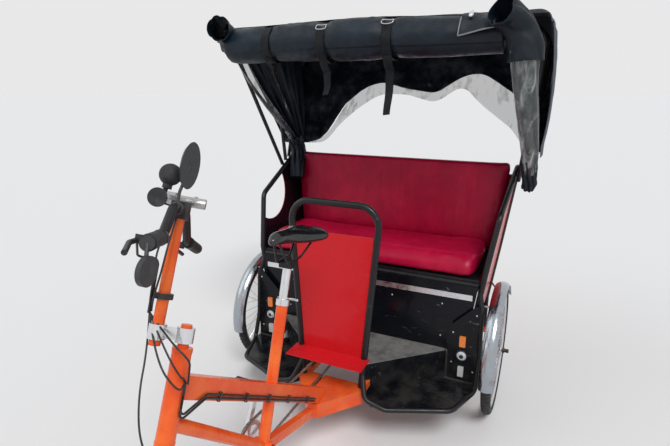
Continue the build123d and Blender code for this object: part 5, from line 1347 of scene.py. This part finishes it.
def domed_heads(name, places):
    """Half spheres squashed to 0.4 of their height, facing forward, one at each place."""
    places = np.asarray(places, float)
    turn = full_turn(HEAD_SIDES)[None]
    reach, height = np.cos(HEAD_RISE), 0.4 * np.sin(HEAD_RISE)
    head = np.stack([np.cos(turn) * reach, 0 * turn - height, np.sin(turn) * reach], -1).reshape(1, -1, 3)
    points = (places[:, None] + HEAD_RADIUS * head).reshape(-1, 3)
    one = grid_quads(len(HEAD_RISE), HEAD_SIDES, close_columns=True)
    first = head.shape[1] * np.arange(len(places))[:, None, None]
    return mesh_object(name, points, (one[None] + first).reshape(-1, 4))


def lamp_rings(name):
    """The turned profiles of both marker lamps, measured from the lamps' own box."""
    low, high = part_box("marker_lamps")
    outer = (high.z - low.z) / 2
    turn = full_turn(40)[None]
    points, quads = [], []
    for side in (-1, 1):
        for profile in LAMP_PROFILES:
            reach, depth = np.array(profile).T[..., None]
            ring = np.stack([side * (high.x - outer) + outer * reach * np.cos(turn),
                             high.y + (high.y - low.y) * depth + 0 * turn,
                             low.z + outer + outer * reach * np.sin(turn)], -1)
            quads.append(grid_quads(len(profile), 40, close_columns=True, first=sum(map(len, points))))
            points.append(ring.reshape(-1, 3))
    return mesh_object(name, np.concatenate(points), np.concatenate(quads))


rings = mended(lamp_rings("lamp_rings"), weld=True)
finish_piece(rings, "frame", "black_panel", dull_plastic)
HEADS = [(side * x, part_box(node)[0].y, z)
         for node, table in (("lamp_panels", PANEL_HEADS), ("front_board", BOARD_HEADS))
         for side in (-1, 1) for x, z in table]
finish_piece(domed_heads("screw_heads", HEADS), "frame", "steel", zinc_plate)
print(len(HEADS), "heads")

# %% [markdown]
# ## Rubber seals
# A rubber bead closes the joint between each lamp panel, the step and the riser behind it.
# It is a round cord bent once at the lower corner, the same on both sides.

# %% Seals
SEAL_PATH = np.array([(0.4395, -0.058, 0.334), (0.4395, -0.059, 0.270), (0.4395, -0.060, 0.216),
                      (0.446, -0.065, 0.2045), (0.515, -0.066, 0.2035), (0.578, -0.066, 0.2035)])

for label, side in (("left", 1), ("right", -1)):
    bead_path = from_cross(smooth_path(SEAL_PATH * (side, 1, 1), 60))
    finish_piece(tube("lamp_panel_seal_" + label, bead_path, 0.006, 12), "frame", "rubber", grip_rubber)
print("seals in place")

# %% [markdown]
# ## Loose cables
# Between the handlebar and the frame the cables hang free, with enough slack to steer. Each
# is a smooth curve through a few route points, made round afterwards. Those that cross the
# steering are left where they are made, on no body; the others stay on the steering and turn with it.

# %% Loose cables
CABLE_WIDTH = 0.005
END_ROOM = 0.004


def extreme_point(node, direction):
    """Mean of a node's points near the one that lies furthest along a direction."""
    found = mesh_points(nodes[node].data)
    reach = found @ np.asarray(direction, float)
    return found[reach > reach.max() - END_ROOM].mean(0)


def route_line(name, controls):
    """Points of the smooth curve that the route points pull on."""
    curve = bpy.data.curves.new(name + "_route", "CURVE")
    curve.dimensions = "3D"
    spline = curve.splines.new("NURBS")
    spline.points.add(len(controls) - 1)
    for point, place in zip(spline.points, controls):
        point.co = (*place, 1)
    spline.order_u = 3
    spline.use_endpoint_u = True
    spline.resolution_u = 14
    holder = bpy.data.objects.new(name + "_route", curve)
    bpy.context.scene.collection.objects.link(holder)
    bpy.context.view_layer.update()
    line = mesh_points(evaluated_mesh(holder))
    bpy.data.objects.remove(holder)
    return line


bar_end = extreme_point("bar_cables", (0, 0, -1))
clamp_low = extreme_point("bar_clamp", (0, -0.6, -0.8))
frame_end = extreme_point("frame_cables", (0, -0.35, 0.94))
fork_foot = np.array(joints["steering"]["pos_m"]) + (0.030, -0.012, -0.040)
CABLE_ROUTES = (  # name, both ends, stays on the steering, each bend's share of the way and offset
    ("loose_cable_a", bar_end, frame_end, False,
     ((0.30, 0.052, -0.040, -0.020), (0.62, 0.058, -0.034, -0.030), (0.88, 0.020, -0.014, 0.006))),
    ("loose_cable_b", bar_end, frame_end + (0.004, 0.003, 0), False,
     ((0.28, 0.036, -0.060, -0.040), (0.60, 0.064, -0.056, -0.060), (0.86, 0.032, -0.026, -0.004))),
    ("loose_cable_c", bar_end, frame_end + (0.001, 0.007, -0.006), False,
     ((0.25, 0.064, -0.026, -0.010), (0.55, 0.080, -0.020, 0.006), (0.85, 0.032, -0.006, 0.022))),
    ("brake_cable", bar_end, fork_foot, True,
     ((0.15, 0, -0.022, -0.03), (0.40, 0, -0.070, -0.03), (0.66, 0, -0.086, -0.04),
      (0.90, 0.010, -0.050, -0.05))),
    ("riser_cable_a", clamp_low, bar_end, True,
     ((0.25, -0.004, -0.030, 0), (0.55, 0.010, -0.030, 0), (0.85, 0.004, -0.016, 0))),
    ("riser_cable_b", clamp_low + (0.010, 0, 0.002), bar_end + (0.005, 0.002, 0.004), True,
     ((0.25, 0.018, -0.026, 0), (0.52, 0.026, -0.034, 0), (0.85, 0.012, -0.022, 0))))

for name, origin, target, on_steering, bends in CABLE_ROUTES:
    inner = [origin + share * (target - origin) + offset for share, *offset in bends]
    line = route_line(name, [origin, *inner, target])
    cable = tube(name, line, CABLE_WIDTH / 2, 10)
    cable.data.materials.append(cable_sheath)
    if on_steering:
        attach(cable, "steering")
    else:
        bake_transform(cable)

# %% [markdown]
# ## Studio floor
# A pale matt floor keeps the shadow. It is part of the studio, not of the vehicle.

# %% Floor of the studio
FLOOR_REACH = 200.0
floor_corners = FLOOR_REACH * np.array([[-1, -1, 0], [1, -1, 0], [1, 1, 0], [-1, 1, 0]])
studio_floor = mesh_object("studio_floor", floor_corners, [[0, 1, 2, 3]], smooth=False)
studio_floor.data.materials.append(Recipe("studio_floor", (0.86, 0.86, 0.86), 0.9).material)
print("floor laid")
